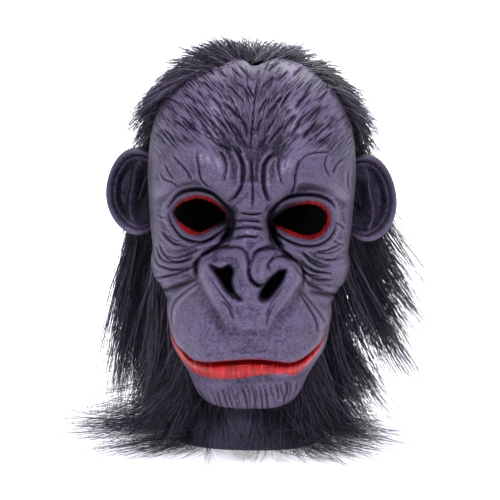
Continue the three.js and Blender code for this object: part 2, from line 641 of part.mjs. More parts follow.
// Rounded cup of an ear: front and back skins of a polar grid that share the rim
function earSolid(ear) {
  const spokes = 20;
  const places = [];
  const faces = [];
  const middle = EAR_OUT * 0.40;
  const place = (ring, spoke, back) => {
    const a = (spoke / spokes) * 2 * Math.PI;
    const squash = 1 - 0.10 * Math.sin(a) * Math.cos(a);
    const o = middle + EAR_OUT * 0.60 * ring.out * Math.cos(a) * squash;
    const q = (EAR_HEIGHT / 2) * ring.out * Math.sin(a);
    const lobe = 1 - 0.35 * ease(0, -1, Math.sin(a)) * ease(0.5, 1, ring.out);
    const front = EAR_RIM * ring.front * lobe;
    const depth = back ? Math.min(front, EAR_RIM * 0.1) - EAR_WALL * (ring.out < 1 ? 1 : 0) : front;
    const x = HALF_WIDTH - EAR_SINK + o * Math.cos(EAR_TILT) + depth * Math.sin(EAR_TILT);
    const y = EAR_SET + o * Math.sin(EAR_TILT) - depth * Math.cos(EAR_TILT);
    const z = level(EAR_DOWN) + q + ear.lean * o;
    return new THREE.Vector3(ear.side * x, y, z);
  };
  const rings = EAR_PROFILE;
  places.push(place(rings[0], 0, false), place(rings[0], 0, true));
  rings.slice(1).forEach((ring, r) => {
    for (let s = 0; s < spokes; s += 1) {
      places.push(place(ring, s, false));
    }
    if (r < rings.length - 2) {
      for (let s = 0; s < spokes; s += 1) {
        places.push(place(ring, s, true));
      }
    }
  });
  const at = (r, s, back) => {
    const i = r === rings.length - 2 ? 0 : (back ? spokes : 0);
    return 2 + r * 2 * spokes + i + (s % spokes);
  };
  const turn = ear.side > 0 ? (f) => f : (f) => [f[0], f[2], f[1]];
  for (let s = 0; s < spokes; s += 1) {
    faces.push(turn([0, at(0, s, false), at(0, s + 1, false)]));
    faces.push(turn([1, at(0, s + 1, true), at(0, s, true)]));
    for (let r = 0; r < rings.length - 2; r += 1) {
      const a = at(r, s, false);
      const b = at(r, s + 1, false);
      const c = at(r + 1, s + 1, false);
      const d = at(r + 1, s, false);
      faces.push(turn([a, d, c]), turn([a, c, b]));
      const e = at(r, s, true);
      const f = at(r, s + 1, true);
      const g = at(r + 1, s + 1, true);
      const h = at(r + 1, s, true);
      faces.push(turn([e, g, h]), turn([e, f, g]));
    }
  }
  return solidFrom(places, faces);
}

// One lock of fur: a flat tapering strand bundle along a bend
function lockSolid(root, mid, tip, flat, width, thick) {
  const curve = new THREE.QuadraticBezierCurve3(root, mid, tip);
  const stations = [0, 0.35, 0.7, 1];
  const swell = [0.8, 1.0, 0.7, 0.12];
  const places = [];
  const faces = [];
  stations.forEach((t, i) => {
    const p = curve.getPoint(t);
    const along = curve.getTangent(t);
    const side = new THREE.Vector3().crossVectors(along, flat).normalize();
    const up = new THREE.Vector3().crossVectors(side, along).normalize();
    [[1, 0], [0, 1], [-1, 0], [0, -1]].forEach(([a, b]) => {
      places.push(p.clone().addScaledVector(side, (a * width * swell[i]) / 2)
        .addScaledVector(up, (b * thick * swell[i]) / 2));
    });
  });
  for (let k = 0; k < 4; k += 1) {
    const m = (k + 1) % 4;
    for (let i = 0; i < stations.length - 1; i += 1) {
      const a = i * 4;
      faces.push([a + k, a + 4 + m, a + m], [a + k, a + 4 + k, a + 4 + m]);
    }
  }
  faces.push([0, 1, 2], [0, 2, 3]);
  const e = (stations.length - 1) * 4;
  faces.push([e, e + 2, e + 1], [e, e + 3, e + 2]);
  const solid = solidFrom(places, faces);
  return solid;
}

function outward(turn, down) {
  const a = headPlace(turn - 0.02, down);
  const b = headPlace(turn + 0.02, down);
  const c = headPlace(turn, Math.max(down - 0.01, 0.001));
  const d = headPlace(turn, down + 0.01);
  return b.sub(a).cross(c.sub(d)).normalize().negate();
}

// Even, repeatable unevenness between locks
function wobble(i, k) {
  return Math.sin(i * 12.9898 + k * 78.233) * 0.5;
}

function pileDepth(p) {
  const down = (CROWN_STACK - p.z) / MASK_HEIGHT;
  const full = down < 0.3 ? mix(CROWN_PILE, TEMPLE_PILE, ease(0.04, 0.3, down))
    : mix(TEMPLE_PILE, NAPE_PILE, ease(0.3, 0.7, down));
  const behind = p.y - edgeAt(clamp(p.x / HALF_WIDTH, -1.2, 1.2), down);
  return mix(EDGE_PILE, full, ease(0, PILE_TAPER, behind));
}

const DOWNWARD = new THREE.Vector3(0, 0, -1);

function hoodLocks() {
  const locks = [];
  LOCK_ROWS.forEach((row, r) => {
    for (let i = 0; i < row.count; i += 1) {
      const turn = mix(row.from, row.to, i / (row.count - 1)) + 0.03 * wobble(i, r);
      const normal = outward(turn, row.down);
      const place = headPlace(turn, row.down);
      const root = place.clone().addScaledVector(normal, pileDepth(place) * 0.55);
      const long = row.length * row.long * (1 + 0.22 * wobble(i, r + 7));
      const lean = DOWNWARD.clone().multiplyScalar(row.fall)
        .add(new THREE.Vector3(0, 1 - row.fall, 0));
      const lay = lean.addScaledVector(normal, -lean.dot(normal)).normalize();
      const start = lay.addScaledVector(normal, row.flare).normalize();
      const mid = root.clone().addScaledVector(start, long * 0.45);
      const out = new THREE.Vector3(normal.x, normal.y * 0.6, 0);
      const end = start.clone().multiplyScalar(0.35).addScaledVector(DOWNWARD, row.fall * 0.9)
        .addScaledVector(out, row.spread + 0.10 * wobble(i, r + 3)).normalize();
      const tip = mid.clone().addScaledVector(end, long * 0.55);
      locks.push(lockSolid(root, mid, tip, normal, LOCK_WIDTH * (1 + 0.3 * wobble(i, r + 5)), LOCK_THICK));
    }
  });
  return locks;
}

function collarLocks() {
  const locks = [];
  const row = COLLAR_ROW;
  for (let i = 0; i < row.count; i += 1) {
    const turn = mix(row.from, row.to, i / (row.count - 1)) + 0.03 * wobble(i, 2);
    const normal = outward(turn, row.down);
    const root = headPlace(turn, row.down).addScaledVector(normal, NAPE_PILE * 0.4);
    const long = COLLAR_LOCK * (mix(0.55, 1, Math.abs(turn)) + 0.2 * wobble(i, 11));
    const start = DOWNWARD.clone().multiplyScalar(0.25).addScaledVector(normal, row.flare).normalize();
    const mid = root.clone().addScaledVector(start, long * 0.5);
    const tip = mid.clone().addScaledVector(normal, long * 0.5 * row.spread);
    tip.z = root.z - LOCK_THICK * (0.87 + 0.37 * wobble(i, 4));
    locks.push(lockSolid(root, mid, tip, new THREE.Vector3(0, 0, 1), LOCK_WIDTH * 1.1, LOCK_THICK));
  }
  return locks;
}

function joinAll(first, others) {
  return others.reduce((sum, piece) => sum.add(piece), first);
}

function mesh(name, solid, color, roughness) {
  const out = solid.getMesh();
  const geometry = new THREE.BufferGeometry();
  geometry.setAttribute('position', new THREE.BufferAttribute(new Float32Array(out.vertProperties), 3));
  geometry.setIndex(new THREE.BufferAttribute(new Uint32Array(out.triVerts), 1));
  geometry.computeVertexNormals();
  const item = new THREE.Mesh(geometry, new THREE.MeshStandardMaterial({ color, roughness, metalness: 0 }));
  item.name = name;
  return item;
}

// The layers of the head, all on one set of places so that they nest
const hem = level(1);
const skinGrid = headGrid(rowHeights(47, 1, 2.6), 36, SKIN_TURNS, skinReach);
const layerGrid = headGrid(rowHeights(23, 1, 2.0), 20, LAYER_TURNS, innerReach);
const skinOutside = gridSolid(skinGrid, CROWN_STACK, hem);
const skinInside = gridSolid(offsetGrid(layerGrid, -LATEX_WALL), CROWN_STACK - LATEX_WALL, hem - HEM_RUN);
const hoodOutside = gridSolid(offsetGrid(layerGrid, -LATEX_WALL - GLUE_GAP), BACKING_WALL, hem - HEM_RUN);
const hoodInside = gridSolid(offsetGrid(layerGrid, -CROWN_STACK), 0, hem - 2 * HEM_RUN);
const space = HEAD_BACK * 4;

// Face casting: skin with ears, cut at its rear edge, with eye and nostril holes
let casting = joinAll(skinOutside.subtract(behindEdge(0)), EARS.map(earSolid)).subtract(skinInside);
EYE_HOLES.concat(NOSTRILS).forEach((hole) => {
  casting = casting.subtract(holeThrough(hole.at));
});

// Hood backing: fabric shell that laps under the skin
const underHem = block(-space, space, -space, space, hem - space, hem + HOOD_HEM_RISE);
const backing = hoodOutside.subtract(hoodInside).intersect(behindEdge(-HOOD_LAP)).subtract(underHem);

// Fur on the hood and round the neck, clear of the skin and the ears
const furFloor = gridSolid(offsetGrid(layerGrid, -LATEX_WALL), CROWN_STACK - LATEX_WALL, hem - HEM_RUN);
const pileGrid = headGrid(rowHeights(15, 1, 1), 10, LAYER_TURNS, (x, down) => headReach(x, down));
const pileTop = gridSolid(offsetGrid(pileGrid, pileDepth), CROWN_STACK + CROWN_PILE, hem - HEM_RUN);
const skinRoom = gridSolid(offsetGrid(layerGrid, LATEX_WALL), CROWN_STACK + LATEX_WALL, hem - HEM_RUN)
  .subtract(behindEdge(EDGE_GAP));
const collarTop = hem + COLLAR_WIDTH;
const earRooms = EARS.map((ear) => {
  const x = [ear.side * (HALF_WIDTH - 2 * EAR_SINK + EAR_ROOM / 2), ear.side * space].sort((a, b) => a - b);
  const z = level(EAR_DOWN);
  const back = EAR_SET + EAR_OUT * Math.sin(EAR_TILT) + EAR_WALL + EAR_RIM / 3;
  const reach = EAR_HEIGHT / 2 + EAR_ROOM;
  return block(x[0], x[1], -space, back, z - reach, z + reach);
});
let hoodFur = pileTop.subtract(furFloor).intersect(behindEdge(EDGE_GAP));
hoodFur = joinAll(hoodFur, hoodLocks()).subtract(furFloor).subtract(skinRoom);
earRooms.forEach((room) => {
  hoodFur = hoodFur.subtract(room);
});
hoodFur = hoodFur.subtract(block(-space, space, -space, space, hem - space, collarTop + GLUE_GAP));

let collarFur = pileTop.subtract(furFloor).intersect(behindEdge(EDGE_GAP));
collarFur = collarFur.intersect(block(-space, space, -space, space, hem + HOOD_HEM_RISE, collarTop));
collarFur = joinAll(collarFur, collarLocks()).subtract(furFloor).subtract(skinRoom);
collarFur = collarFur.subtract(block(-space, space, -space, space, collarTop, space));

const mask = new THREE.Group();
mask.name = 'gorilla_mask';
mask.add(mesh('face_casting', casting, 0x3a3743, 0.62));
mask.add(mesh('hood_backing', backing, 0x1c1b20, 0.95));
mask.add(mesh('hood_fur', hoodFur, 0x17161b, 0.8));
mask.add(mesh('collar_fur', collarFur, 0x17161b, 0.8));

export default mask;
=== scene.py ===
import math
from functools import partialmethod

import bpy
import numpy as np
from mathutils import Matrix, Vector


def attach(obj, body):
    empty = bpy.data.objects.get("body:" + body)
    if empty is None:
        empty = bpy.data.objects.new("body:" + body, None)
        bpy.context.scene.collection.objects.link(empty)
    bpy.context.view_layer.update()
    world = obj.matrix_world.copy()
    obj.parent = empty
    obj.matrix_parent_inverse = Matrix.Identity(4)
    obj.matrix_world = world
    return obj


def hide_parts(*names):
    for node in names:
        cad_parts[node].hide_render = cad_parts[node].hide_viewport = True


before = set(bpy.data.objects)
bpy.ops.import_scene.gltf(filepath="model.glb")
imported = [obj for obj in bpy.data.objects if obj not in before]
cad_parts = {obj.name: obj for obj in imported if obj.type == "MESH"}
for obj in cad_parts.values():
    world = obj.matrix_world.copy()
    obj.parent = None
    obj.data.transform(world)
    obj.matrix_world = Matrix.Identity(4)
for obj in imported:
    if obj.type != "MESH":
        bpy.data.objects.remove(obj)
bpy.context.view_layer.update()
scene = bpy.context.scene

# Camera, room and light.
# The photo looks straight at the face from about 1.2 m with a short telephoto lens, a little
# above the middle of the mask and slightly rolled. White sweep, large soft lamps.
CAMERA_AWAY, CAMERA_LIFT, CAMERA_ROLL = 1.2, math.radians(5.0), math.radians(1.0)
aim = Vector((0, 0, -0.1526))
camera = bpy.data.objects.new("camera", bpy.data.cameras.new("camera"))
scene.collection.objects.link(camera)
camera.data.lens = 105.6
camera.data.sensor_width = 36
camera.data.shift_x = -0.001
camera.location = aim + CAMERA_AWAY * Vector((0, -math.cos(CAMERA_LIFT), math.sin(CAMERA_LIFT)))
look = (aim - camera.location).to_track_quat("-Z", "Y").to_matrix().to_4x4()
camera.rotation_euler = (look @ Matrix.Rotation(CAMERA_ROLL, 4, "Z")).to_euler()
scene.camera = camera
scene.view_settings.view_transform = "Standard"

# The mask is shown with its neck hem on a white table that runs back into a white wall.
TABLE_LEVEL, SWEEP_HALF = -0.3053, 2.4
SWEEP_PROFILE = [(-1.6, 0.0), (0.9, 0.0), (1.15, 0.03), (1.3, 0.12), (1.36, 0.3), (1.38, 2.4)]
sweep = bpy.data.meshes.new("sweep")
points = [(x, y, TABLE_LEVEL + z) for y, z in SWEEP_PROFILE for x in (-SWEEP_HALF, SWEEP_HALF)]
quads = [(2 * i, 2 * i + 1, 2 * i + 3, 2 * i + 2) for i in range(len(SWEEP_PROFILE) - 1)]
sweep.from_pydata(points, [], quads)
sweep.polygons.foreach_set("use_smooth", [True] * len(quads))
sweep_ob = bpy.data.objects.new("sweep", sweep)
scene.collection.objects.link(sweep_ob)
sweep_mat = bpy.data.materials.new("sweep")
sweep_mat.use_nodes = True
for label, value in (("Base Color", (0.93, 0.93, 0.95, 1)), ("Roughness", 0.6),
                     ("Emission Color", (1, 1, 1, 1)), ("Emission Strength", 0.42)):
    sweep_mat.node_tree.nodes["Principled BSDF"].inputs[label].default_value = value
sweep.materials.append(sweep_mat)


def lamp(name, place, aim_at, size, watts, tint=(1, 1, 1)):
    data = bpy.data.lights.new(name, "AREA")
    data.shape = "RECTANGLE"
    data.size, data.size_y = size
    data.energy = watts
    data.color = tint
    item = bpy.data.objects.new(name, data)
    scene.collection.objects.link(item)
    item.location = place
    item.rotation_euler = (Vector(aim_at) - Vector(place)).to_track_quat("-Z", "Y").to_euler()


AIM = (0, 0, -0.12)
lamp("key_left", (-0.55, -0.95, 1.25), AIM, (0.40, 0.40), 24, (1, 0.93, 1.13))
lamp("key_right", (0.62, -0.80, 1.10), AIM, (0.35, 0.35), 17, (1, 0.93, 1.13))
lamp("rim", (0.2, 0.8, 0.9), (0, 0, -0.10), (0.6, 0.4), 4)
lamp("wall", (0, 0.7, 1.3), (0, 1.4, 0.0), (2.0, 0.6), 34)
world = bpy.data.worlds.new("room")
scene.world = world
world.use_nodes = True
world.node_tree.nodes["Background"].inputs["Color"].default_value = (1, 1, 1, 1)
world.node_tree.nodes["Background"].inputs["Strength"].default_value = 0.30

# Face casting.
# One latex skin, cast in a mould: forehead, brow, cheeks, nose, muzzle, chin and neck band. It
# is about 2.6 mm thick, cut along its rear edge and glued over the hood; dark slate rubber.
# Heights are shares of the mask height going down, sideways places shares of the half width.
# All lengths from here on are in mm.
MASK_HEIGHT, HALF_WIDTH, HEAD_FRONT, HEAD_BACK = 310.0, 84.0, 97.0, 98.0
LATEX_WALL, GLUE_GAP, BACKING_WALL = 2.6, 0.3, 2.0
CROWN_STACK = LATEX_WALL + GLUE_GAP + BACKING_WALL
DOME_SHARE, DOME_POWER, SECTION_POWER = 0.32, 2.6, 2.5
ROUNDING = 2 / SECTION_POWER
FACE_REACH, MUZZLE_HALF, NOSE_HALF = 158.0, 61.0, 39.0
BROW_REACH, CHEEK_REACH, SOCKET_DEPTH = 15.0, 9.0, 7.0
# Swellings of the brow: sideways place and half width, half height in mm, part of BROW_REACH
BROW_SWELLS = ((0.36, 0.20, 17, 3), (0.68, 0.16, 14, 6))
TINY = 1e-9

HEAD = np.array([  # down, side, front, back
    (0.320, 1.000, 1.000, 1.000), (0.420, 0.975, 0.950, 0.985), (0.485, 0.950, 0.930, 0.955),
    (0.525, 0.915, 0.905, 0.925), (0.570, 0.820, 0.885, 0.890), (0.630, 0.740, 0.865, 0.850),
    (0.695, 0.715, 0.855, 0.810), (0.775, 0.690, 0.825, 0.765), (0.845, 0.680, 0.740, 0.730),
    (0.920, 0.690, 0.660, 0.710), (1.000, 0.715, 0.640, 0.715)])
MUZZLE = np.array([  # down, half width, reach
    (0.485, 0.49, 0.660), (0.530, 0.72, 0.800), (0.580, 0.87, 0.905), (0.630, 0.97, 0.970),
    (0.670, 1.00, 0.995), (0.705, 1.00, 0.995), (0.730, 0.97, 0.970), (0.760, 0.90, 0.930),
    (0.795, 0.80, 0.890), (0.830, 0.72, 0.850), (0.852, 0.66, 0.780), (0.870, 0.58, 0.620),
    (0.885, 0.49, 0.420)])
NOSE = np.array([  # down, half width, reach
    (0.320, 0.39, 0.710), (0.360, 0.36, 0.715), (0.400, 0.34, 0.695), (0.440, 0.36, 0.710),
    (0.470, 0.44, 0.745), (0.495, 0.72, 0.830), (0.515, 0.95, 0.890), (0.550, 1.00, 0.935),
    (0.580, 0.90, 0.970), (0.615, 0.75, 0.995), (0.640, 0.59, 1.000), (0.665, 0.41, 0.950)])
# Nose and muzzle: table, half width, where they stand back to, squareness, softness of the join
STACKS = ((NOSE, NOSE_HALF, 86, 2.6, 5), (MUZZLE, MUZZLE_HALF, 25, 2.8, 7))
STACK_ROUNDING, STACK_SIDE_DROP, STACK_END_DROP = 1 / 2.3, 200, 3
# Lower edges of the brow and upper edges of the cheeks: sideways, down
BROW_EDGE = np.array([
    (0.00, 0.390), (0.10, 0.389), (0.17, 0.374), (0.24, 0.360), (0.32, 0.340), (0.43, 0.326),
    (0.54, 0.324), (0.65, 0.332), (0.75, 0.348), (0.86, 0.365), (0.95, 0.377), (1.13, 0.394)])
CHEEK_EDGE = np.array([
    (0.00, 0.387), (0.19, 0.432), (0.24, 0.471), (0.34, 0.503), (0.43, 0.526), (0.49, 0.552),
    (0.55, 0.580), (0.62, 0.597), (0.72, 0.600), (0.84, 0.584), (0.91, 0.548), (1.07, 0.516)])
# Rear edge of the skin, forward of the ears' line: at the sides by down, on the scalp by sideways
SIDE_EDGE = np.array([
    (-0.05, 0.47), (0.02, 0.46), (0.06, 0.42), (0.10, 0.22), (0.14, 0.10), (0.18, 0.07),
    (0.205, 0.05), (0.225, -0.08), (0.25, -0.17), (0.48, -0.17), (0.505, -0.02), (0.525, 0.22),
    (0.645, 0.20), (0.80, 0.03), (0.93, -0.08), (1.06, -0.10)])
SCALP_EDGE = np.array([
    (-1.20, 0.00), (-0.87, -0.06), (-0.76, 0.08), (-0.66, 0.10), (-0.57, 0.07), (-0.52, -0.06),
    (-0.41, 0.04), (-0.30, 0.07), (-0.19, -0.04), (-0.10, -0.03), (-0.02, 0.10), (0.06, 0.08),
    (0.14, -0.03), (0.26, -0.24), (0.50, -0.26), (0.58, -0.16), (0.64, 0.03), (0.77, -0.06),
    (0.85, 0.22), (0.90, 0.26), (0.97, 0.02), (1.20, 0.00)])
# How far the cheek bags and the jaw stand out past the plain head: down, mm
BAG_OUT = np.array([
    (0.495, 0.0), (0.513, 1.5), (0.536, 5.5), (0.554, 8.0), (0.573, 9.3), (0.588, 7.6),
    (0.611, 6.6), (0.648, 4.8), (0.686, 2.3), (0.73, 1.0), (0.78, 0.0)])

# Traced lines are rows of sideways and down in turn, in hundredths of the half width and
# thousandths of the mask height. First the outlines of the eye holes, their painted rims, the
# nostrils, and the upper and lower edge of the painted lip.
EYE_HOLES = [
    (-68, 398, -64, 383, -56, 372, -46, 367, -35, 378, -28, 391, -25, 404, -35, 422, -44, 435,
     -50, 435, -60, 423, -66, 410),
    (21, 412, 28, 398, 35, 384, 46, 377, 56, 378, 62, 384, 67, 397, 67, 411, 63, 431, 55, 440, 46,
     438, 37, 429, 29, 420),
]
EYE_CORNERS = ((-0.25, 0.404), (0.21, 0.412))  # inner ends, in shares
EYE_RIMS = [
    (-70, 386, -67, 375, -59, 360, -50, 352, -39, 354, -31, 366, -25, 384, -21, 401, -26, 414,
     -35, 432, -44, 447, -53, 450, -62, 441, -67, 423, -70, 405),
    (19, 414, 25, 401, 33, 378, 44, 365, 54, 362, 63, 367, 70, 384, 73, 405, 72, 424, 67, 443, 58,
     456, 48, 454, 38, 447, 29, 435, 22, 424),
]
NOSTRILS = [
    (-36, 510, -27, 515, -18, 507, -14, 520, -15, 545, -12, 568, -7, 581, -13, 579, -20, 567, -26,
     546, -32, 525),
    (31, 521, 26, 518, 18, 530, 11, 553, 8, 572, 10, 584, 17, 580, 24, 560, 29, 541),
]
MOUTH = (-72, 658, -70, 690, -65, 712, -57, 725, -49, 739, -35, 737, -19, 729, 3, 723, 19, 726, 36,
    735, 47, 729, 54, 718, 60, 706, 65, 691, 66, 667)
LIP_EDGE = (-72, 663, -70, 708, -63, 737, -55, 758, -47, 771, -27, 773, -7, 767, 14, 757, 31, 756,
    38, 765, 45, 760, 54, 738, 61, 717, 66, 694, 66, 671)

# Raised rolls: width and height in mm, height at the far end as a share, then the line
ROLLS = [
    (5.2, 10.5, 0.3, -3, 519, -5, 494, -12, 479, -23, 476, -34, 481, -40, 500, -40, 523, -36, 546,
     -30, 572, -24, 597, -17, 625),
    (5.2, 10.5, 0.3, 15, 516, 17, 500, 25, 489, 35, 492, 40, 510, 41, 533, 35, 557, 28, 578, 19,
     602, 13, 628),
    (5.0, 4.5, 1.0, -3, 501, -3, 524, -2, 547, 0, 566), (5.5, 6.0, 1.0, 7.5, 484, 6, 506, 8, 530),
]
# Creases: width and depth in mm, then the line
LIDS = [
    (1.0, 2.3, -77, 393, -73, 374, -66, 351, -57, 340, -46, 337, -35, 345, -27, 362, -20, 381,
     -18, 396),
    (1.0, 1.9, -76, 399, -74, 421, -69, 442, -62, 459, -51, 466, -39, 461, -29, 445, -20, 425),
    (1.0, 2.3, 15, 404, 20, 379, 27, 359, 37, 348, 51, 345, 63, 350, 72, 364, 78, 384),
    (1.0, 1.9, 16, 424, 26, 448, 37, 463, 48, 471, 60, 472, 70, 460, 76, 440, 78, 416),
]
BROW_CREASES = [
    (0.7, 1.3, -48, 240, -49, 259, -47, 278, -46, 295, -44, 311, -38, 330),
    (0.8, 1.4, -30, 242, -26, 253, -23, 272, -23, 294, -25, 317),
    (1.0, 2.2, -17, 231, -12, 250, -8, 276, -8, 302, -9, 326, -14, 348, -21, 365),
    (0.7, 1.8, -1, 262, 0, 297, 1, 333, 1, 378),
    (0.7, 1.2, -71, 258, -64, 275, -57, 294, -53, 315), (0.7, 0.9, -79, 278, -75, 295, -70, 314),
    (0.7, 0.9, -83, 300, -79, 315, -71, 321, -66, 331),
    (1.0, 2.4, 20, 246, 15, 256, 11, 275, 10, 301, 11, 330, 16, 363),
    (0.7, 1.1, 25, 253, 23, 272, 24, 296, 27, 320),
    (0.8, 1.7, 42, 255, 40, 274, 38, 298, 37, 326, 35, 343),
    (0.7, 1.0, 40, 279, 45, 255, 53, 245, 61, 242, 69, 242),
    (0.7, 1.0, 68, 245, 65, 264, 66, 283, 70, 300), (0.7, 0.8, 82, 259, 76, 273, 72, 293),
    (0.7, 0.7, 89, 288, 88, 312, 90, 336), (0.7, 1.5, -9, 389, 1, 391, 10, 389),
]
FACE_CREASES = [
    (0.8, 1.3, -15, 411, -7, 407, 2, 408, 10, 410), (0.8, 1.3, -16, 432, -8, 426, 2, 425, 12, 431),
    (0.8, 1.1, -13, 451, -4, 445, 6, 447),
    (1.6, 3.4, -18, 426, -22, 450, -28, 469, -36, 482, -44, 497),
    (1.8, 4.3, 15, 402, 18, 431, 22, 457, 29, 481, 37, 498),
    (0.8, 1.1, -81, 448, -75, 465, -69, 477, -63, 476),
    (0.8, 1.2, -85, 479, -81, 501, -73, 516, -65, 520, -58, 515, -51, 505),
    (0.8, 1.2, -88, 516, -81, 532, -72, 539, -63, 539, -54, 529, -45, 511),
    (0.8, 0.9, -45, 470, -38, 462, -31, 449), (0.9, 1.4, 39, 489, 48, 517, 58, 536, 67, 541),
    (0.8, 1.3, 46, 485, 55, 511, 63, 524, 70, 528), (0.8, 1.1, 59, 486, 69, 486, 79, 477, 82, 471),
    (0.8, 1.1, 47, 528, 58, 553, 69, 560), (0.7, 0.8, 67, 509, 76, 509, 82, 501),
    (0.7, 1.1, -43, 555, -51, 570, -58, 592, -63, 616, -65, 640, -66, 669),
    (0.7, 1.1, 41, 565, 47, 589, 52, 613, 56, 639, 58, 668),
    (0.7, 0.8, 44, 567, 52, 595, 59, 629, 64, 655), (1.0, 1.4, -24, 583, -17, 604, -13, 629),
    (1.0, 1.4, 22, 586, 17, 609, 14, 637), (1.1, 2.9, -3, 473, -2, 497, -1, 520, 1, 541),
    (1.0, 2.0, 1, 534, 5, 543, 11, 547), (0.9, 1.6, 1, 498, 2, 484, 7, 476, 13, 474),
    (0.8, 1.6, 17, 521, 16, 503, 19, 489, 25, 479),
    (0.7, 0.9, -83, 449, -79, 461, -73, 472, -66, 476),
    (0.7, 1.1, -86, 499, -81, 516, -73, 524, -62, 517, -54, 503),
    (0.7, 0.8, -88, 488, -85, 507, -79, 521),
    (0.7, 0.8, -77, 506, -69, 511, -61, 505, -54, 495, -45, 482, -37, 474),
    (0.8, 1.2, -95, 575, -87, 586, -71, 560, -61, 543, -49, 524),
    (0.7, 0.8, -71, 547, -61, 532, -51, 517, -43, 504),
    (1.3, 2.3, -92, 597, -87, 607, -78, 613, -62, 581, -53, 562, -47, 552),
    (0.7, 0.8, -55, 481, -47, 472, -37, 460, -29, 447), (0.7, 0.7, -76, 456, -70, 466, -64, 468),
    (0.7, 0.7, -49, 472, -40, 465, -32, 455), (0.8, 1.4, 38, 497, 43, 515, 52, 539, 64, 550),
    (0.7, 1.1, 43, 492, 50, 516, 59, 533, 71, 544), (0.7, 0.9, 47, 487, 56, 506, 66, 519, 72, 525),
    (0.7, 0.9, 59, 489, 69, 493, 80, 488, 86, 479), (0.7, 0.7, 66, 508, 77, 511, 86, 507),
    (1.0, 1.4, 37, 504, 43, 527, 52, 559, 63, 586), (1.2, 2.0, 53, 575, 63, 593, 80, 620, 88, 613),
    (0.7, 0.7, 75, 460, 83, 474, 88, 476), (0.7, 0.9, -14, 451, -7, 444, 1, 445, 8, 444),
    (0.7, 0.7, -17, 433, -8, 422, 1, 421, 12, 428),
    (0.8, 1.3, -14, 401, -15, 427, -21, 455, -31, 477), (0.7, 0.7, -86, 409, -81, 413, -77, 410),
    (0.7, 0.7, 76, 415, 82, 424, 87, 436),
]
NOSE_FOLDS = [
    (1.3, 2.8, -47, 553, -49, 532, -45, 502, -34, 483, -20, 472, -9, 470, -3, 485, 0, 506),
    (1.2, 3.0, -3, 485, 0, 503, -1, 522, 2, 539, 8, 550, 13, 542),
    (1.3, 2.6, 46, 564, 48, 542, 44, 512, 35, 497, 24, 488, 16, 499, 13, 517),
    (1.2, 2.2, 1, 506, 3, 488, 8, 474, 17, 471, 24, 479),
    (0.8, 1.2, -35, 536, -27, 563, -20, 585, -14, 604),
    (0.8, 1.1, 30, 551, 23, 570, 18, 589, 14, 617),
]
# Long tool strokes of the forehead, and the flutes of the chin
STROKES = [
    (-43, 39, -35, 58), (-25, 77, -16, 100, -7, 127), (-16, 74, -9, 88, -1, 117),
    (-56, 130, -46, 161, -37, 186), (-50, 138, -39, 167, -27, 200, -22, 222),
    (-58, 142, -48, 168, -38, 200, -31, 220), (-27, 122, -20, 141, -11, 166),
    (-42, 104, -34, 122, -27, 141), (-66, 158, -58, 175, -52, 194), (-72, 169, -64, 183, -56, 202),
    (-83, 130, -75, 142, -67, 158), (-86, 189, -80, 207, -74, 223), (-91, 200, -84, 215, -79, 233),
    (-82, 192, -75, 206, -70, 221), (-28, 152, -21, 181, -14, 210, -11, 225),
    (-21, 167, -14, 192, -7, 225, -4, 239), (-14, 152, -7, 177, -3, 203),
    (-36, 153, -28, 174, -21, 196), (-81, 115, -72, 123, -66, 135), (-48, 73, -40, 88, -34, 104),
    (-35, 38, -29, 54, -23, 65), (-22, 33, -15, 53, -9, 69), (-15, 29, -7, 53, -1, 72),
    (-64, 104, -56, 116, -50, 130), (-6, 80, -2, 99, 1, 117), (-32, 225, -24, 233, -17, 243),
    (-14, 228, -8, 251), (19, 59, 12, 75, 7, 91), (25, 20, 17, 35, 12, 50),
    (33, 43, 26, 59, 21, 71), (48, 100, 43, 119, 38, 138), (64, 129, 55, 148, 48, 171),
    (50, 144, 42, 167, 37, 193, 33, 211), (43, 171, 38, 189, 34, 208), (59, 163, 51, 186, 43, 208),
    (68, 178, 60, 196, 55, 214), (27, 105, 20, 128, 15, 150), (21, 157, 16, 180, 11, 202),
    (73, 192, 66, 207, 59, 222), (35, 93, 28, 119, 24, 139), (13, 113, 8, 132, 4, 154),
    (27, 179, 20, 201, 14, 224), (38, 149, 31, 175, 27, 197), (55, 72, 49, 92, 45, 111),
    (70, 89, 64, 105, 59, 122), (14, 202, 8, 224, 4, 242), (46, 27, 40, 46, 35, 62),
    (77, 154, 71, 169, 66, 185), (9, 158, 5, 180, 3, 202),
    (5, 36, 3, 83, 1, 121, 0, 166, -1, 210, 0, 253),
]
FLUTES = [
    (-46, 814, -41, 834, -35, 852), (-40, 810, -35, 839, -30, 892), (-28, 800, -25, 833, -18, 900),
    (-34, 798, -30, 832, -24, 897), (-17, 786, -15, 820, -10, 894), (-23, 794, -20, 826, -15, 900),
    (-10, 785, -7, 819, -3, 899), (-2, 784, 1, 822, 5, 901), (6, 784, 8, 818, 12, 898),
    (13, 780, 15, 814, 20, 894), (20, 778, 21, 807, 26, 854), (27, 778, 29, 802, 31, 829, 31, 887),
    (36, 780, 38, 808, 35, 838), (43, 789, 43, 818, 38, 833), (32, 777, 34, 809, 32, 840),
    (23, 778, 26, 805, 28, 837), (2, 784, 5, 818, 8, 898), (10, 782, 12, 818, 16, 896),
    (-6, 785, -3, 819, 1, 898), (-14, 785, -11, 819, -6, 897),
]


def ease(low, high, v):
    t = np.clip((v - low) / (high - low), 0, 1)
    return t * t * (3 - 2 * t)


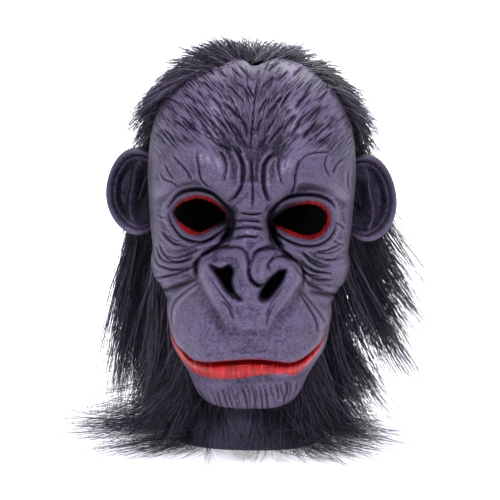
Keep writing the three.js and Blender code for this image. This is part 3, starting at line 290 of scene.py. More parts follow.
def read(rows, column, v):
    """Smooth reading of one column of a table by its first column."""
    xs, ys = rows[:, 0], rows[:, column]
    v = np.clip(v, xs[0], xs[-1])
    i = np.clip(np.searchsorted(xs, v, "right") - 1, 0, len(xs) - 2)
    slope = np.empty(len(xs))
    slope[1:-1] = (ys[2:] - ys[:-2]) / (xs[2:] - xs[:-2])
    slope[0] = (ys[1] - ys[0]) / (xs[1] - xs[0])
    slope[-1] = (ys[-1] - ys[-2]) / (xs[-1] - xs[-2])
    h = xs[i + 1] - xs[i]
    t = (v - xs[i]) / h
    return ((2 * t**3 - 3 * t**2 + 1) * ys[i] + (t**3 - 2 * t**2 + t) * h * slope[i]
            + (3 * t**2 - 2 * t**3) * ys[i + 1] + (t**3 - t**2) * h * slope[i + 1])


def level(down):
    return CROWN_STACK - down * MASK_HEIGHT


def section(down):
    low = np.maximum(down, DOME_SHARE)
    up = np.clip(1 - down / DOME_SHARE, 0, 1)
    shrink = np.maximum(1 - up**DOME_POWER, 0) ** (1 / SECTION_POWER)
    return (HALF_WIDTH * read(HEAD, 1, low) * shrink, HEAD_FRONT * read(HEAD, 2, low) * shrink,
            HEAD_BACK * read(HEAD, 3, low) * shrink)


def rounded(v):
    """Superellipse share for a sine or cosine."""
    return np.sign(v) * np.abs(v) ** ROUNDING


def unit(v, guard=TINY):
    return v / (np.linalg.norm(v, axis=-1, keepdims=True) + guard)


def head_place(turn, down):
    """Place on the plain head form: turn in quarter turns, 0 the back, -1 and 1 the sides."""
    side, front, back = section(down)
    a = turn * math.pi / 2
    sx, cy = np.sin(a), np.cos(a)
    x = side * rounded(sx)
    y = np.where(cy >= 0, back, front) * rounded(cy)
    return np.stack([x, y, level(down) + 0 * x], -1)


def head_reach(x, down):
    side, front, _ = section(down)
    e = np.abs(x / np.maximum(side, 1e-6)) ** SECTION_POWER
    return front * np.clip(1 - e, 0, 1) ** (1 / SECTION_POWER)


def joined(a, b, soft):
    """The larger of two forms, with the join rounded off."""
    return 0.5 * (a + b + np.hypot(a - b, soft))


def stack_reach(rows, half, back, square, x, down):
    """Reach of the nose or the muzzle by its table; it drops away past its sides and ends."""
    width = half * read(rows, 1, down)
    reach = FACE_REACH * read(rows, 2, down)
    e = np.abs(x / width) ** square
    past = np.maximum(rows[0, 0] - down, 0) + np.maximum(down - rows[-1, 0], 0)
    inside = back + (reach - back) * np.clip(1 - e, 0, 1) ** STACK_ROUNDING
    outside = back - STACK_SIDE_DROP * np.clip(e - 1, 0, 1)
    return np.where(e < 1, inside, outside) - STACK_END_DROP * MASK_HEIGHT * past


def ledge(edge, out, down, full, length, power):
    """Height above a brow or cheek edge in mm, and a share that fades out above it."""
    over = (read(edge, 1, out) - down) * MASK_HEIGHT
    return over, np.exp(-(np.maximum(over - full, 0) / length) ** power)


def face_form(x, down):
    """Main form of the face without its creases."""
    out = np.abs(x) / HALF_WIDTH
    plain = head_reach(x, down)
    hold = np.clip(plain / (HEAD_FRONT / 2), 0, 1)
    over, fade = ledge(BROW_EDGE, out, down, 12, 26, 1.6)
    notch = 1 - 0.28 * np.exp(-(x / 9) ** 2)
    brow = BROW_REACH * np.exp(-(out / 0.88) ** 4) * notch * hold * fade
    for centre, wide, tall, part in BROW_SWELLS:
        swell = ((out - centre) / wide) ** 2 + ((over - 17) / tall) ** 2
        brow = brow + BROW_REACH / part * np.exp(-swell**1.3)
    reach = plain + brow * ease(-5, 6, over)
    over, fade = ledge(CHEEK_EDGE, out, down, 8, 20, 1.8)
    cheek = CHEEK_REACH * np.exp(-((out - 0.62) / 0.32) ** 4) * hold * fade
    reach = reach + cheek * ease(-5, 5, over)
    for rows, half, back, square, soft in STACKS:
        reach = joined(reach, stack_reach(rows, half, back, square, x, down), soft)
    socket = ((out - 0.45) / 0.345) ** 2 + ((down - 0.41) / 0.058) ** 2
    return reach - SOCKET_DEPTH * np.exp(-socket**2) * hold


def smooth_line(traced, closed=False, steps=6):
    """Catmull-Rom points through a traced line, in millimetres."""
    shares = np.reshape(traced, (-1, 2)) / (100, 1000)
    p = np.stack([shares[:, 0] * HALF_WIDTH, level(shares[:, 1])], 1)
    n = len(p)
    at = range(n if closed else n - 1)
    made = []
    for i in at:
        if closed:
            a, b, c, d = p[i - 1], p[i], p[(i + 1) % n], p[(i + 2) % n]
        else:
            b, c = p[i], p[i + 1]
            a = p[i - 1] if i else 2 * b - c
            d = p[i + 2] if i + 2 < n else 2 * c - b
        t = np.linspace(0, 1, steps, endpoint=False)[:, None]
        made.append(0.5 * (2 * b + (c - a) * t + (2 * a - 5 * b + 4 * c - d) * t**2
                           + (3 * b - a - 3 * c + d) * t**3))
    made.append(p[:1] if closed else p[-1:])
    return np.vstack(made)


def near_line(x, z, line, reach):
    """Mask of the points within reach of a line, their distance, side and share along it."""
    low, high = line.min(0) - reach, line.max(0) + reach
    mask = (x > low[0]) & (x < high[0]) & (z > low[1]) & (z < high[1])
    px, pz = x[mask], z[mask]
    best = np.full(px.shape, 1e9)
    side, share = np.zeros_like(best), np.zeros_like(best)
    seg = np.diff(line, axis=0)
    size = np.hypot(seg[:, 0], seg[:, 1]) + TINY
    way = np.concatenate([[0], np.cumsum(size)])
    for i, (ux, uz) in enumerate(seg / size[:, None]):
        dx, dz = px - line[i, 0], pz - line[i, 1]
        t = np.clip(dx * ux + dz * uz, 0, size[i])
        d = np.hypot(dx - t * ux, dz - t * uz)
        closer = d < best
        best[closer] = d[closer]
        side[closer] = np.sign(ux * dz - uz * dx)[closer]
        share[closer] = ((way[i] + t) / way[-1])[closer]
    return mask, best, side, share


def outline_gap(x, z, line, reach=25.0):
    """Distance to a closed outline, minus inside it."""
    gap = np.full(x.shape, reach)
    mask, best, _, _ = near_line(x, z, line, reach)
    px, pz = x[mask], z[mask]
    odd = np.zeros(px.shape, bool)
    for a, b in zip(line[:-1], line[1:]):
        crosses = (a[1] > pz) != (b[1] > pz)
        odd ^= crosses & (px < (b[0] - a[0]) * (pz - a[1]) / (b[1] - a[1] + 1e-12) + a[0])
    gap[mask] = np.minimum(np.where(odd, -best, best), reach)
    return gap


def crease(reach, groove, x, z, rows, strength, shoulder=0.45):
    """Pinched folds: a sharp valley between rounded shoulders, with painted shade for it kept in
    groove.
    """
    for width, deep, *traced in rows:
        mask, d, _, t = near_line(x, z, smooth_line(traced), 6 * width)
        taper = np.clip(np.minimum(t, 1 - t) / 0.16, 0, 1) ** 0.6
        valley = 0.90 * np.exp(-(d / (0.62 * width + 0.1)) ** 1.4)
        slope = 0.22 * np.exp(-(d / (2.2 * width)) ** 1.6)
        bulge = shoulder * np.exp(-((d - 2.7 * width) / (1.5 * width)) ** 2)
        reach[mask] += strength * taper * deep * (-valley - slope + bulge)
        # Painted shade along the valley
        line = np.exp(-(d / (0.34 * width + 0.30)) ** 1.5)
        dark = taper * np.clip(0.50 + deep / 3.2, 0, 1) * line
        groove[mask] = np.maximum(groove[mask], dark)


def stroke_angle(x):
    """Lean of the sculpted hair strokes off the vertical; they run down toward the parting."""
    return np.radians(18 + 27 * ease(0, 26, np.abs(x)))


STROKE_X = np.linspace(0, 110, 400)
STROKE_RISE = np.cumsum(np.diff(STROKE_X) / np.tan(stroke_angle(STROKE_X[1:])))
STROKE_RISE = np.concatenate([[0], STROKE_RISE])
SHORT_STROKES, SHORT_FLUTES = 460, 60
STROKE_DEPTH, STROKE_WIDTH, FLUTE_WIDTH, SHORT_FLUTE_WIDTH = 1.8, 0.62, 0.72, 0.50


def press_line(depth, x, z, line, deep, width):
    mask, d, _, t = near_line(x, z, line, 4)
    cut = deep * np.exp(-(d / width) ** 1.7) * np.clip(5 * t * (1 - t), 0, 1)
    depth[mask] = np.maximum(depth[mask], cut)


def strokes(x, z, down):
    """Depth of the tool strokes pressed into the forehead, and of the flutes of the chin."""
    rng = np.random.default_rng(7)
    depth = np.zeros(x.shape)
    for _ in range(SHORT_STROKES):
        u0, d0 = rng.uniform(-0.98, 0.98), rng.uniform(0.012, 0.225)
        size, deep, width = rng.uniform(4, 13), rng.uniform(0.3, 1.0), rng.uniform(0.42, 0.56)
        r = np.abs(u0) * HALF_WIDTH - np.linspace(0, size * 0.62, 7)
        if r[-1] < 2:
            continue
        rise = np.interp(r, STROKE_X, STROKE_RISE)
        line = np.stack([np.sign(u0) * r + 1.5, level(d0) + rise - rise[0]], 1)
        press_line(depth, x, z, line, deep, width)
    depth *= ease(0.255, 0.215, down + 0.02 * np.cos(x / 9))
    for traced in STROKES:
        press_line(depth, x, z, smooth_line(traced), STROKE_DEPTH, STROKE_WIDTH)
    for number, traced in enumerate(FLUTES):
        line = smooth_line(traced)
        line[:, 0] += 0.45 * np.sin(line[:, 1] / 5 + 0.8 * number) + 0.6 * np.sin(2.9 * number)
        press_line(depth, x, z, line, rng.uniform(0.9, 2.1), FLUTE_WIDTH)
    for _ in range(SHORT_FLUTES):
        u0, d0, size = rng.uniform(-0.44, 0.42), rng.uniform(0.785, 0.860), rng.uniform(3, 8)
        line = np.array([(HALF_WIDTH * u0 * (1 - 0.05 * k / 4), level(d0) - size * k / 4)
                         for k in range(5)])
        press_line(depth, x, z, line, rng.uniform(0.3, 0.8), SHORT_FLUTE_WIDTH)
    return depth


def edge_at(u, down):
    """Front-to-back place of the skin's rear edge."""
    scalp = 1 - ease(0.03, 0.25, down)
    return -(read(SIDE_EDGE, 1, down) + scalp * read(SCALP_EDGE, 1, u)) * HEAD_FRONT


def bagged(x, down):
    """Sideways places with the cheek bags and the jaw standing out."""
    out = read(BAG_OUT, 1, down) * ease(0.62, 0.98, np.abs(x) / section(down)[0])
    return x + np.sign(x) * out


def face_relief(x, z, down, eye_gaps, nostril_gaps):
    """Forward reach of the finished skin with every sculpted fold, and the painted shade in its
    grooves.
    """
    reach = face_form(x, down)
    groove = np.zeros(x.shape)
    for width, high, end, *traced in ROLLS:
        mask, d, _, t = near_line(x, z, smooth_line(traced), 4 * width)
        tall = high * (1 + (end - 1) * t)
        reach[mask] += tall * np.exp(-(d / width) ** 2.6) * ease(-0.08, 0.12, t)
    for gap in nostril_gaps:  # a soft step down into each nostril
        reach -= 9 * (1 - ease(-3, 2.2, gap))
        # Painted shade down into the nostril
        groove = np.maximum(groove, 1 - ease(-1.0, 1.5, gap))
    for gap in eye_gaps:  # a raised lid round each hole and a step down at its edge
        reach += 2.2 * np.exp(-((gap - 8.0) / 4.0) ** 2) - 3.5 * (1 - ease(-0.5, 6.0, gap))
    crease(reach, groove, x, z, LIDS, 1.5)
    crease(reach, groove, x, z, BROW_CREASES, 1.2, 0.80)
    crease(reach, groove, x, z, FACE_CREASES, 1.3)
    crease(reach, groove, x, z, NOSE_FOLDS, 1.3, 0.5)
    pressed = strokes(x, z, down)
    reach -= pressed
    # Painted shade in the pressed strokes
    groove = np.maximum(groove, np.clip(pressed / 1.5, 0, 1) ** 1.3)
    mask, d, side, t = near_line(x, z, smooth_line(MOUTH), 22)
    below = np.where(side < 0, d, -d)
    ends = ease(0.0, 0.12, t) * ease(0.0, 0.12, 1 - t)
    slit = 6 * np.exp(-(d / 1.4) ** 1.6)
    upper = 1.4 * np.exp(-((below + 3.5) / 2.5) ** 2)
    lower = 3.6 * np.exp(-((below - 6) / 4.2) ** 2) * ends
    reach[mask] += (-slit + upper + lower) * (0.25 + 0.75 * ends)
    # Painted shade in the slit of the mouth
    groove[mask] = np.maximum(groove[mask], np.exp(-(d / 0.9) ** 1.6) * (0.3 + 0.7 * ends))
    return reach, groove


def spaced_rows(count, busy):
    """Heights set closer together where the face is detailed."""
    fine = np.concatenate([DOME_SHARE * (1 - np.cos(np.linspace(0.02, math.pi / 2, 160)) ** 0.77),
                           np.linspace(DOME_SHARE, 1.0, 400)[1:]])
    way = np.zeros(len(fine))
    for u in (0.0, 0.3, 0.55):
        x = u * section(fine)[0]
        step = np.hypot(np.diff(fine) * MASK_HEIGHT, 0.5 * np.diff(face_form(x, fine)))
        way[1:] += np.cumsum(step * np.interp(fine[1:], busy[0], busy[1]))
    return np.interp(np.linspace(0, way[-1], count), way, fine)


def skin_angles(rows, columns, behind):
    """Angles round the head for each row, spaced evenly along its main form."""
    made = []
    for down in rows:
        side = float(section(np.array([down]))[0][0])
        a = np.linspace(-math.pi / 2 - behind, math.pi / 2 + behind, 700)
        x = side * rounded(np.sin(a))
        y = np.where(np.cos(a) >= 0, -face_form(x, np.full(x.shape, down)),
                     HEAD_BACK * np.abs(np.cos(a)) ** ROUNDING)
        way = np.concatenate([[0], np.cumsum(np.hypot(np.diff(x), 0.6 * np.diff(y)))])
        made.append(np.interp(np.linspace(0, way[-1], columns), way, a))
    return np.array(made)


SKIN_ROWS, SKIN_COLUMNS = ((440, 286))
SKIN_BEHIND = 0.38  # how far the grid runs past the sides of the head, radians
BUSY = ([0.0, 0.22, 0.30, 0.80, 0.87, 0.92, 1.0], [1.0, 1.0, 1.5, 1.5, 0.8, 0.35, 0.35])
rows = spaced_rows(SKIN_ROWS, BUSY)
angle = skin_angles(rows, SKIN_COLUMNS, SKIN_BEHIND)
down = np.repeat(rows[:, None], SKIN_COLUMNS, 1)
side, _, back = section(down)
x = side * rounded(np.sin(angle))
z = level(down)
ahead = np.cos(angle) >= 0


def gaps_to(outlines):
    return [outline_gap(x, z, smooth_line(traced, True)) for traced in outlines]


eye_gaps, nostril_gaps = gaps_to(EYE_HOLES), gaps_to(NOSTRILS)
relief, groove = face_relief(x, z, down, eye_gaps, nostril_gaps)
y = np.where(ahead, -relief, back * np.abs(np.cos(angle)) ** ROUNDING)
skin = np.stack([bagged(x, down), y, z], -1)


def grid_normals(p):
    return unit(np.cross(np.gradient(p, axis=0), np.gradient(p, axis=1)))


def shifted(field, by, axis):
    """A grid moved by some rows or columns, with its last ones repeated."""
    last = field.shape[axis] - 1
    return np.take(field, np.clip(np.arange(last + 1) + by, 0, last), axis)


def blurred(field, radius):
    """Running mean over a grid, twice along each way."""
    for axis in (0, 0, 1, 1):
        total = sum(shifted(field, k, axis) for k in range(-radius, radius + 1))
        field = total / (2 * radius + 1)
    return field


def trim(places, cut, wall):
    """Quads of a grid where cut is minus, with the edge drawn onto cut zero and given a wall."""
    p = places.copy()
    inside = cut < 0
    shape = cut.shape
    best = np.full(shape, 1e9)
    for dr, dc in ((0, 1), (0, -1), (1, 0), (-1, 0), (1, 1), (1, -1), (-1, 1), (-1, -1)):
        there = np.roll(inside, (dr, dc), (0, 1))
        value = np.roll(cut, (dr, dc), (0, 1))
        place = np.roll(places, (dr, dc), (0, 1))
        t = value / np.where(np.abs(value - cut) < TINY, TINY, value - cut)
        crossing = place + t[..., None] * (places - place)
        move = np.linalg.norm(crossing - places, axis=-1)
        use = ~inside & there & (move < best) & (t > 0) & (t <= 1)
        p[use] = crossing[use]
        best[use] = move[use]
    keep = inside[:-1, :-1] | inside[1:, :-1] | inside[:-1, 1:] | inside[1:, 1:]
    n = shape[1]
    r, c = np.nonzero(keep)
    a = r * n + c
    quads = np.stack([a, a + n, a + n + 1, a + 1], 1)
    verts = p.reshape(-1, 3)
    normals = grid_normals(places).reshape(-1, 3)
    edges = np.concatenate([quads[:, [i, (i + 1) % 4]] for i in range(4)])
    key = np.sort(edges, 1)
    key = key[:, 0] * len(verts) + key[:, 1]
    _, first, count = np.unique(key, return_index=True, return_counts=True)
    rim = edges[first[count == 1]]
    loop = np.unique(rim)
    place = np.full(len(verts), -1)
    place[loop] = len(verts) + np.arange(len(loop))
    walls = verts[loop] - normals[loop] * wall
    strips = np.stack([rim[:, 1], rim[:, 0], place[rim[:, 0]], place[rim[:, 1]]], 1)
    faces = np.concatenate([quads, strips])
    verts = np.concatenate([verts, walls])
    used = np.unique(faces)
    number = np.full(len(verts), -1)
    number[used] = np.arange(len(used))
    source = np.concatenate([np.arange(len(normals)), loop])
    return verts[used], number[faces], source[used]


def make_mesh(name, verts_mm, faces, material, fans=None):
    """Object from quads in millimetres, with triangles where fans are given."""
    data = bpy.data.meshes.new(name)
    data.vertices.add(len(verts_mm))
    data.vertices.foreach_set("co", (np.asarray(verts_mm) / 1000).astype(np.float32).ravel())
    loops = faces.ravel() if fans is None else np.concatenate([faces.ravel(), fans.ravel()])
    starts = np.arange(0, faces.size, 4)
    if fans is not None:
        starts = np.concatenate([starts, np.arange(faces.size, len(loops), 3)])
    data.loops.add(len(loops))
    data.loops.foreach_set("vertex_index", loops.astype(np.int32))
    data.polygons.add(len(starts))
    data.polygons.foreach_set("loop_start", starts.astype(np.int32))
    data.update(calc_edges=True)
    data.validate()
    data.polygons.foreach_set("use_smooth", np.ones(len(data.polygons), bool))
    data.materials.append(material)
    item = bpy.data.objects.new(name, data)
    scene.collection.objects.link(item)
    return item


def store(item, name, values):
    layer = item.data.attributes.new(name, "FLOAT", "POINT")
    layer.data.foreach_set("value", np.asarray(values, dtype=np.float32).ravel())


class Sock:
    """A shader value with arithmetic; makes Math and Mix nodes in its tree."""

    def __init__(self, tree, socket):
        self.tree, self.socket = tree, socket

    def math(self, kind, *others):
        node = self.tree.nodes.new("ShaderNodeMath")
        node.operation = kind
        for slot, value in zip(node.inputs, (self, *others)):
            if isinstance(value, Sock):
                self.tree.links.new(value.socket, slot)
            else:
                slot.default_value = value
        return Sock(self.tree, node.outputs[0])

    __add__ = __radd__ = partialmethod(math, "ADD")
    __mul__ = __rmul__ = partialmethod(math, "MULTIPLY")
    __sub__ = partialmethod(math, "SUBTRACT")
    __truediv__ = partialmethod(math, "DIVIDE")

    def __rsub__(self, value):
        return (self * -1.0) + value

    def clip(self, low=0.0, high=1.0):
        return self.math("MAXIMUM", low).math("MINIMUM", high)

    def ramp(self, low, high):
        return ((self - low) / (high - low)).clip()

    def mix(self, a, b):
        """Colour a where this is 0, b where it is 1."""
        node = self.tree.nodes.new("ShaderNodeMix")
        node.data_type = "RGBA"
        self.tree.links.new(self.socket, node.inputs[0])
        for slot, value in ((node.inputs[6], a), (node.inputs[7], b)):
            if isinstance(value, Sock):
                self.tree.links.new(value.socket, slot)
            else:
                slot.default_value = (*value, 1)
        return Sock(self.tree, node.outputs[2])


class Paint:
    """A material's node tree with its Principled shader."""

    def __init__(self, name):
        self.material = bpy.data.materials.new(name)
        self.material.use_nodes = True
        self.tree = self.material.node_tree
        self.shader = self.tree.nodes["Principled BSDF"]

    def node(self, kind, inputs=None, output=0, **settings):
        made = self.tree.nodes.new(kind)
        for key, value in settings.items():
            setattr(made, key, value)
        for key, value in (inputs or {}).items():
            if isinstance(value, Sock):
                self.tree.links.new(value.socket, made.inputs[key])
            else:
                made.inputs[key].default_value = value
        return Sock(self.tree, made.outputs[output])

    def attribute(self, name):
        return self.node("ShaderNodeAttribute", output="Fac", attribute_name=name)

    def object_place(self):
        return self.node("ShaderNodeTexCoord", output="Object")

    def split(self, vector):
        node = self.node("ShaderNodeSeparateXYZ", {0: vector}).socket.node
        return [Sock(self.tree, out) for out in node.outputs]

    def noise(self, vector, scale, detail=2.0):
        return self.node("ShaderNodeTexNoise",
                         {"Vector": vector, "Scale": scale, "Detail": detail}, output="Fac")

    def streaks(self, u, v, wide, long, detail=2.0):
        """Noise drawn out along v."""
        at = self.node("ShaderNodeCombineXYZ", {0: u * wide, 1: v * long})
        return self.noise(at, 1.0, detail)

    def set(self, **values):
        for key, value in values.items():
            slot = self.shader.inputs[key.replace("_", " ")]
            if isinstance(value, Sock):
                self.tree.links.new(value.socket, slot)
            else:
                slot.default_value = value

    def bump(self, height, distance, strength):
        made = self.node("ShaderNodeBump", {"Height": height, "Distance": distance,
                                            "Strength": strength}, output="Normal")
        self.tree.links.new(made.socket, self.shader.inputs["Normal"])


# Slate latex with painted shade in its hollows, dust and a painted highlight on what stands up;
# crackled on the plain parts, combed where hair is sculpted on the forehead, glossy red on the
# lips and the eye rims.
SLATE_DARK, SLATE_DUST_AND_HIGHLIGHT = (0.0030, 0.0024, 0.0055), (0.105, 0.088, 0.146)
RED_DARK, RED_LIGHT = (0.10, 0.001, 0.002), (0.56, 0.010, 0.009)
latex = Paint("face_latex")
place = latex.object_place()
pores, blotch = latex.noise(place, 950.0, 3.0), latex.noise(place, 55.0, 5.0)
grit = latex.noise(place, 330.0, 4.0)
painted_shade, paint, brushed, smooth, across, lengthwise = (
    latex.attribute(label)
    for label in ("painted_shade", "paint", "brushed", "smooth", "streak_u", "streak_v"))
lit_and_worn = latex.attribute("highlight_and_wear").clip()
tooled = latex.streaks(across, lengthwise, 0.85, 0.085, 1.0).ramp(0.54, 0.62) * brushed
combed = (latex.streaks(across, lengthwise, 1.60, 0.15) - 0.5) * brushed
sideways, _, upward = latex.split(place)
lip_ribs = latex.streaks(sideways, upward, 520.0, 60.0).ramp(0.40, 0.62)
crackle = latex.node("ShaderNodeTexVoronoi", {"Vector": place, "Scale": 270.0, "Randomness": 1.0},
                     output="Distance", feature="DISTANCE_TO_EDGE").ramp(0.0, 0.13)
plain_skin = (1 - brushed) * (1 - smooth)
cracks = (1 - crackle) * plain_skin
open_skin = (1 - painted_shade).clip()
# Dust, blotches, grit and combing vary the slate; a painted highlight lightens what stands up and
# painted shade darkens the hollows. The tool strokes and cracks are drawn darker.
dust_and_shading = (blotch.ramp(0.36, 0.70) * 0.24 + 0.34 + combed * 3.6 + (pores - 0.5) * 1.7
         + (grit - 0.5) * 1.2 + lit_and_worn * 0.80)
dust_and_shading = dust_and_shading.clip() * (1 - tooled * 0.88) * (1 - cracks * 0.38) * open_skin
painted = (paint + (pores - 0.5) * 0.30).ramp(0.42, 0.58)
# Painted shade also darkens the red in the grooves
red = ((lip_ribs * 0.5 + pores * 0.5) * (1 - painted_shade)).clip().mix(RED_DARK, RED_LIGHT)
gloss = (open_skin * (0.015 + lit_and_worn * 0.20 + painted * 0.22)).clip()
latex.set(Base_Color=painted.mix(dust_and_shading.mix(SLATE_DARK, SLATE_DUST_AND_HIGHLIGHT), red),
          Roughness=0.50 + pores * 0.20, Specular_IOR_Level=0.09, Coat_Weight=gloss,
          Coat_Roughness=0.28)
latex.bump(pores * 0.25 + grit * 0.45 * plain_skin - cracks * 0.22 - tooled + combed * 1.6
           + painted * lip_ribs * 0.9, 0.0013, 0.9)

# The skin is cut at its rear edge, a little outside the lines of the eye holes and inside
# those of the nostrils. Cut values are minus where the skin stays.
EYE_CUT, NOSTRIL_CUT, UNCUT = 2.0, -1.4, -50.0
edge = y - edge_at(x / HALF_WIDTH, down)
holes = np.max([EYE_CUT - gap for gap in eye_gaps] + [NOSTRIL_CUT - gap for gap in nostril_gaps],
               axis=0)
holes = np.where(ahead, holes, UNCUT)
verts, faces, source = trim(skin, np.maximum(edge, holes), LATEX_WALL)

# Red paint on the eye rims and on the band of the lower lip
PAINT_BLEND = 2.4
upper_lip = smooth_line(MOUTH) + np.array([0, 2.0])
band = np.vstack([upper_lip, smooth_line(LIP_EDGE)[::-1], upper_lip[:1]])
painted_at = 0.5 - np.min(gaps_to(EYE_RIMS) + [outline_gap(x, z, band)], axis=0) / PAINT_BLEND

# The muzzle, nose and chin are smooth; the rest is finely crackled.
out = np.abs(x) / HALF_WIDTH
smooth_at = np.maximum(ease(0.50, 0.60, down) * ease(0.72, 0.62, out),
                       ease(0.44, 0.50, down) * ease(0.50, 0.44, out))
# Painted shade in the grooves and broader dips, under the chin, on the sides, under the brow and
# round the eyes, deepest at their inner corners; a painted highlight, partly wear, on what stands
# up, and painted light on the shaded neck band.
dip = blurred(relief, 4) - relief
wide_dip = blurred(relief, 11) - relief
side_on = ease(0.84, 1.0, np.abs(x) / side)
neck = ease(0.90, 0.94, down)
socket = np.zeros(x.shape)
for gap, (u, d) in zip(eye_gaps, EYE_CORNERS):
    near = np.hypot(x - u * HALF_WIDTH, z - level(d))
    shade = 0.42 * np.exp(-((gap / 8) ** 2)) + 0.42 * np.exp(-((near / 10) ** 2))
    socket = np.maximum(socket, shade)
painted_shade_at = (groove * 0.95 + np.clip(dip / 1.2, 0, 1) * 0.14 * (1 - 0.5 * smooth_at)
             + np.clip(wide_dip / 2.8, 0, 1) * 0.52 * (1 - 0.8 * smooth_at)
             + 0.36 * ease(0.83, 0.87, down) + 0.25 * side_on
             + 0.12 * ease(0.22, 0.28, down) * ease(0.36, 0.33, down) + socket)
painted_shade_at = np.clip(painted_shade_at, 0, 0.97) * ahead * (1 - 0.9 * neck)
# Painted highlight on the bumps, with some wear on the ridges, and painted light on the neck band
bumps = np.clip(-dip / 0.5, 0, 1) + 0.30 * np.clip(-wide_dip / 2.0, 0, 1)
highlight_and_wear_at = np.clip(bumps, 0, 1) * ahead * (1 - 0.55 * smooth_at) * (1 - 0.7 * side_on)
highlight_and_wear_at = np.maximum(highlight_and_wear_at, 0.55 * neck * ahead)
streak_u = (z - np.interp(np.abs(x), STROKE_X, STROKE_RISE)) * np.sin(stroke_angle(x))
brushed_at = ease(0.27, 0.22, down + 0.015 * np.cos(x / 7)) * ahead

skin_ob = make_mesh("face_skin", verts, faces, latex.material)
for label, values in (("paint", np.clip(painted_at, 0, 1)), ("painted_shade", painted_shade_at),
                      ("highlight_and_wear", highlight_and_wear_at), ("streak_u", streak_u), ("streak_v", z),
                      ("brushed", brushed_at), ("smooth", smooth_at)):
    store(skin_ob, label, values.ravel()[source])
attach(skin_ob, "root")
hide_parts("face_casting")

# Lining of the casting: the inside of the same skin, plain and coarser, behind its deepest folds.
LINING_STEP, LINING_SETBACK = 4, 2.5
deepest = relief
for axis in (0, 1):
    deepest = np.min([shifted(deepest, k, axis) for k in range(-4, 5)], axis=0)
lining = np.stack([skin[..., 0], np.where(ahead, -blurred(deepest, 3), y), z], -1)
lining = lining[::LINING_STEP, ::LINING_STEP]
lining = lining - grid_normals(lining) * LATEX_WALL
l_cut = np.maximum(edge, np.where(holes > -20, holes + LINING_SETBACK, holes))
l_verts, l_faces, _ = trim(lining, l_cut[::LINING_STEP, ::LINING_STEP], 0.2)
lining_ob = make_mesh("face_lining", l_verts, l_faces[:, ::-1], latex.material)
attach(lining_ob, "root")
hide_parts("face_casting")

# Ears.
# Each is a cupped latex shell cast with the face: a rolled rim, a groove, a ridge inside it and
# a deep bowl. It stands on the side of the head just before the skin's rear edge.
EAR_HEIGHT, EAR_OUT, EAR_SINK, EAR_DOWN, EAR_SET = 71.0, 44.0, 7.0, 0.364, 4.0
EAR_TILT, EAR_RIM, EAR_WALL = 0.30, 7.0, 3.0
BACK_RINGS, BACK_SHADE = 24, 0.45
# share of the way from the bowl to the rim, forward height as a share of the rim's, painted shade
EAR_PROFILE = np.array([
    (0.00, -1.70, 0.97), (0.20, -1.60, 0.97), (0.38, -1.30, 0.97), (0.48, -0.95, 0.96),
    (0.56, -0.75, 0.93), (0.62, -0.62, 0.93), (0.66, -0.55, 0.92), (0.69, -0.50, 0.90),
    (0.74, -0.30, 0.88), (0.78, 0.20, 0.55), (0.81, 0.34, 0.12), (0.84, 0.15, 0.72),
    (0.90, 0.55, 0.30), (0.95, 0.80, 0.12), (0.98, 0.75, 0.15), (1.00, 0.45, 0.30)])


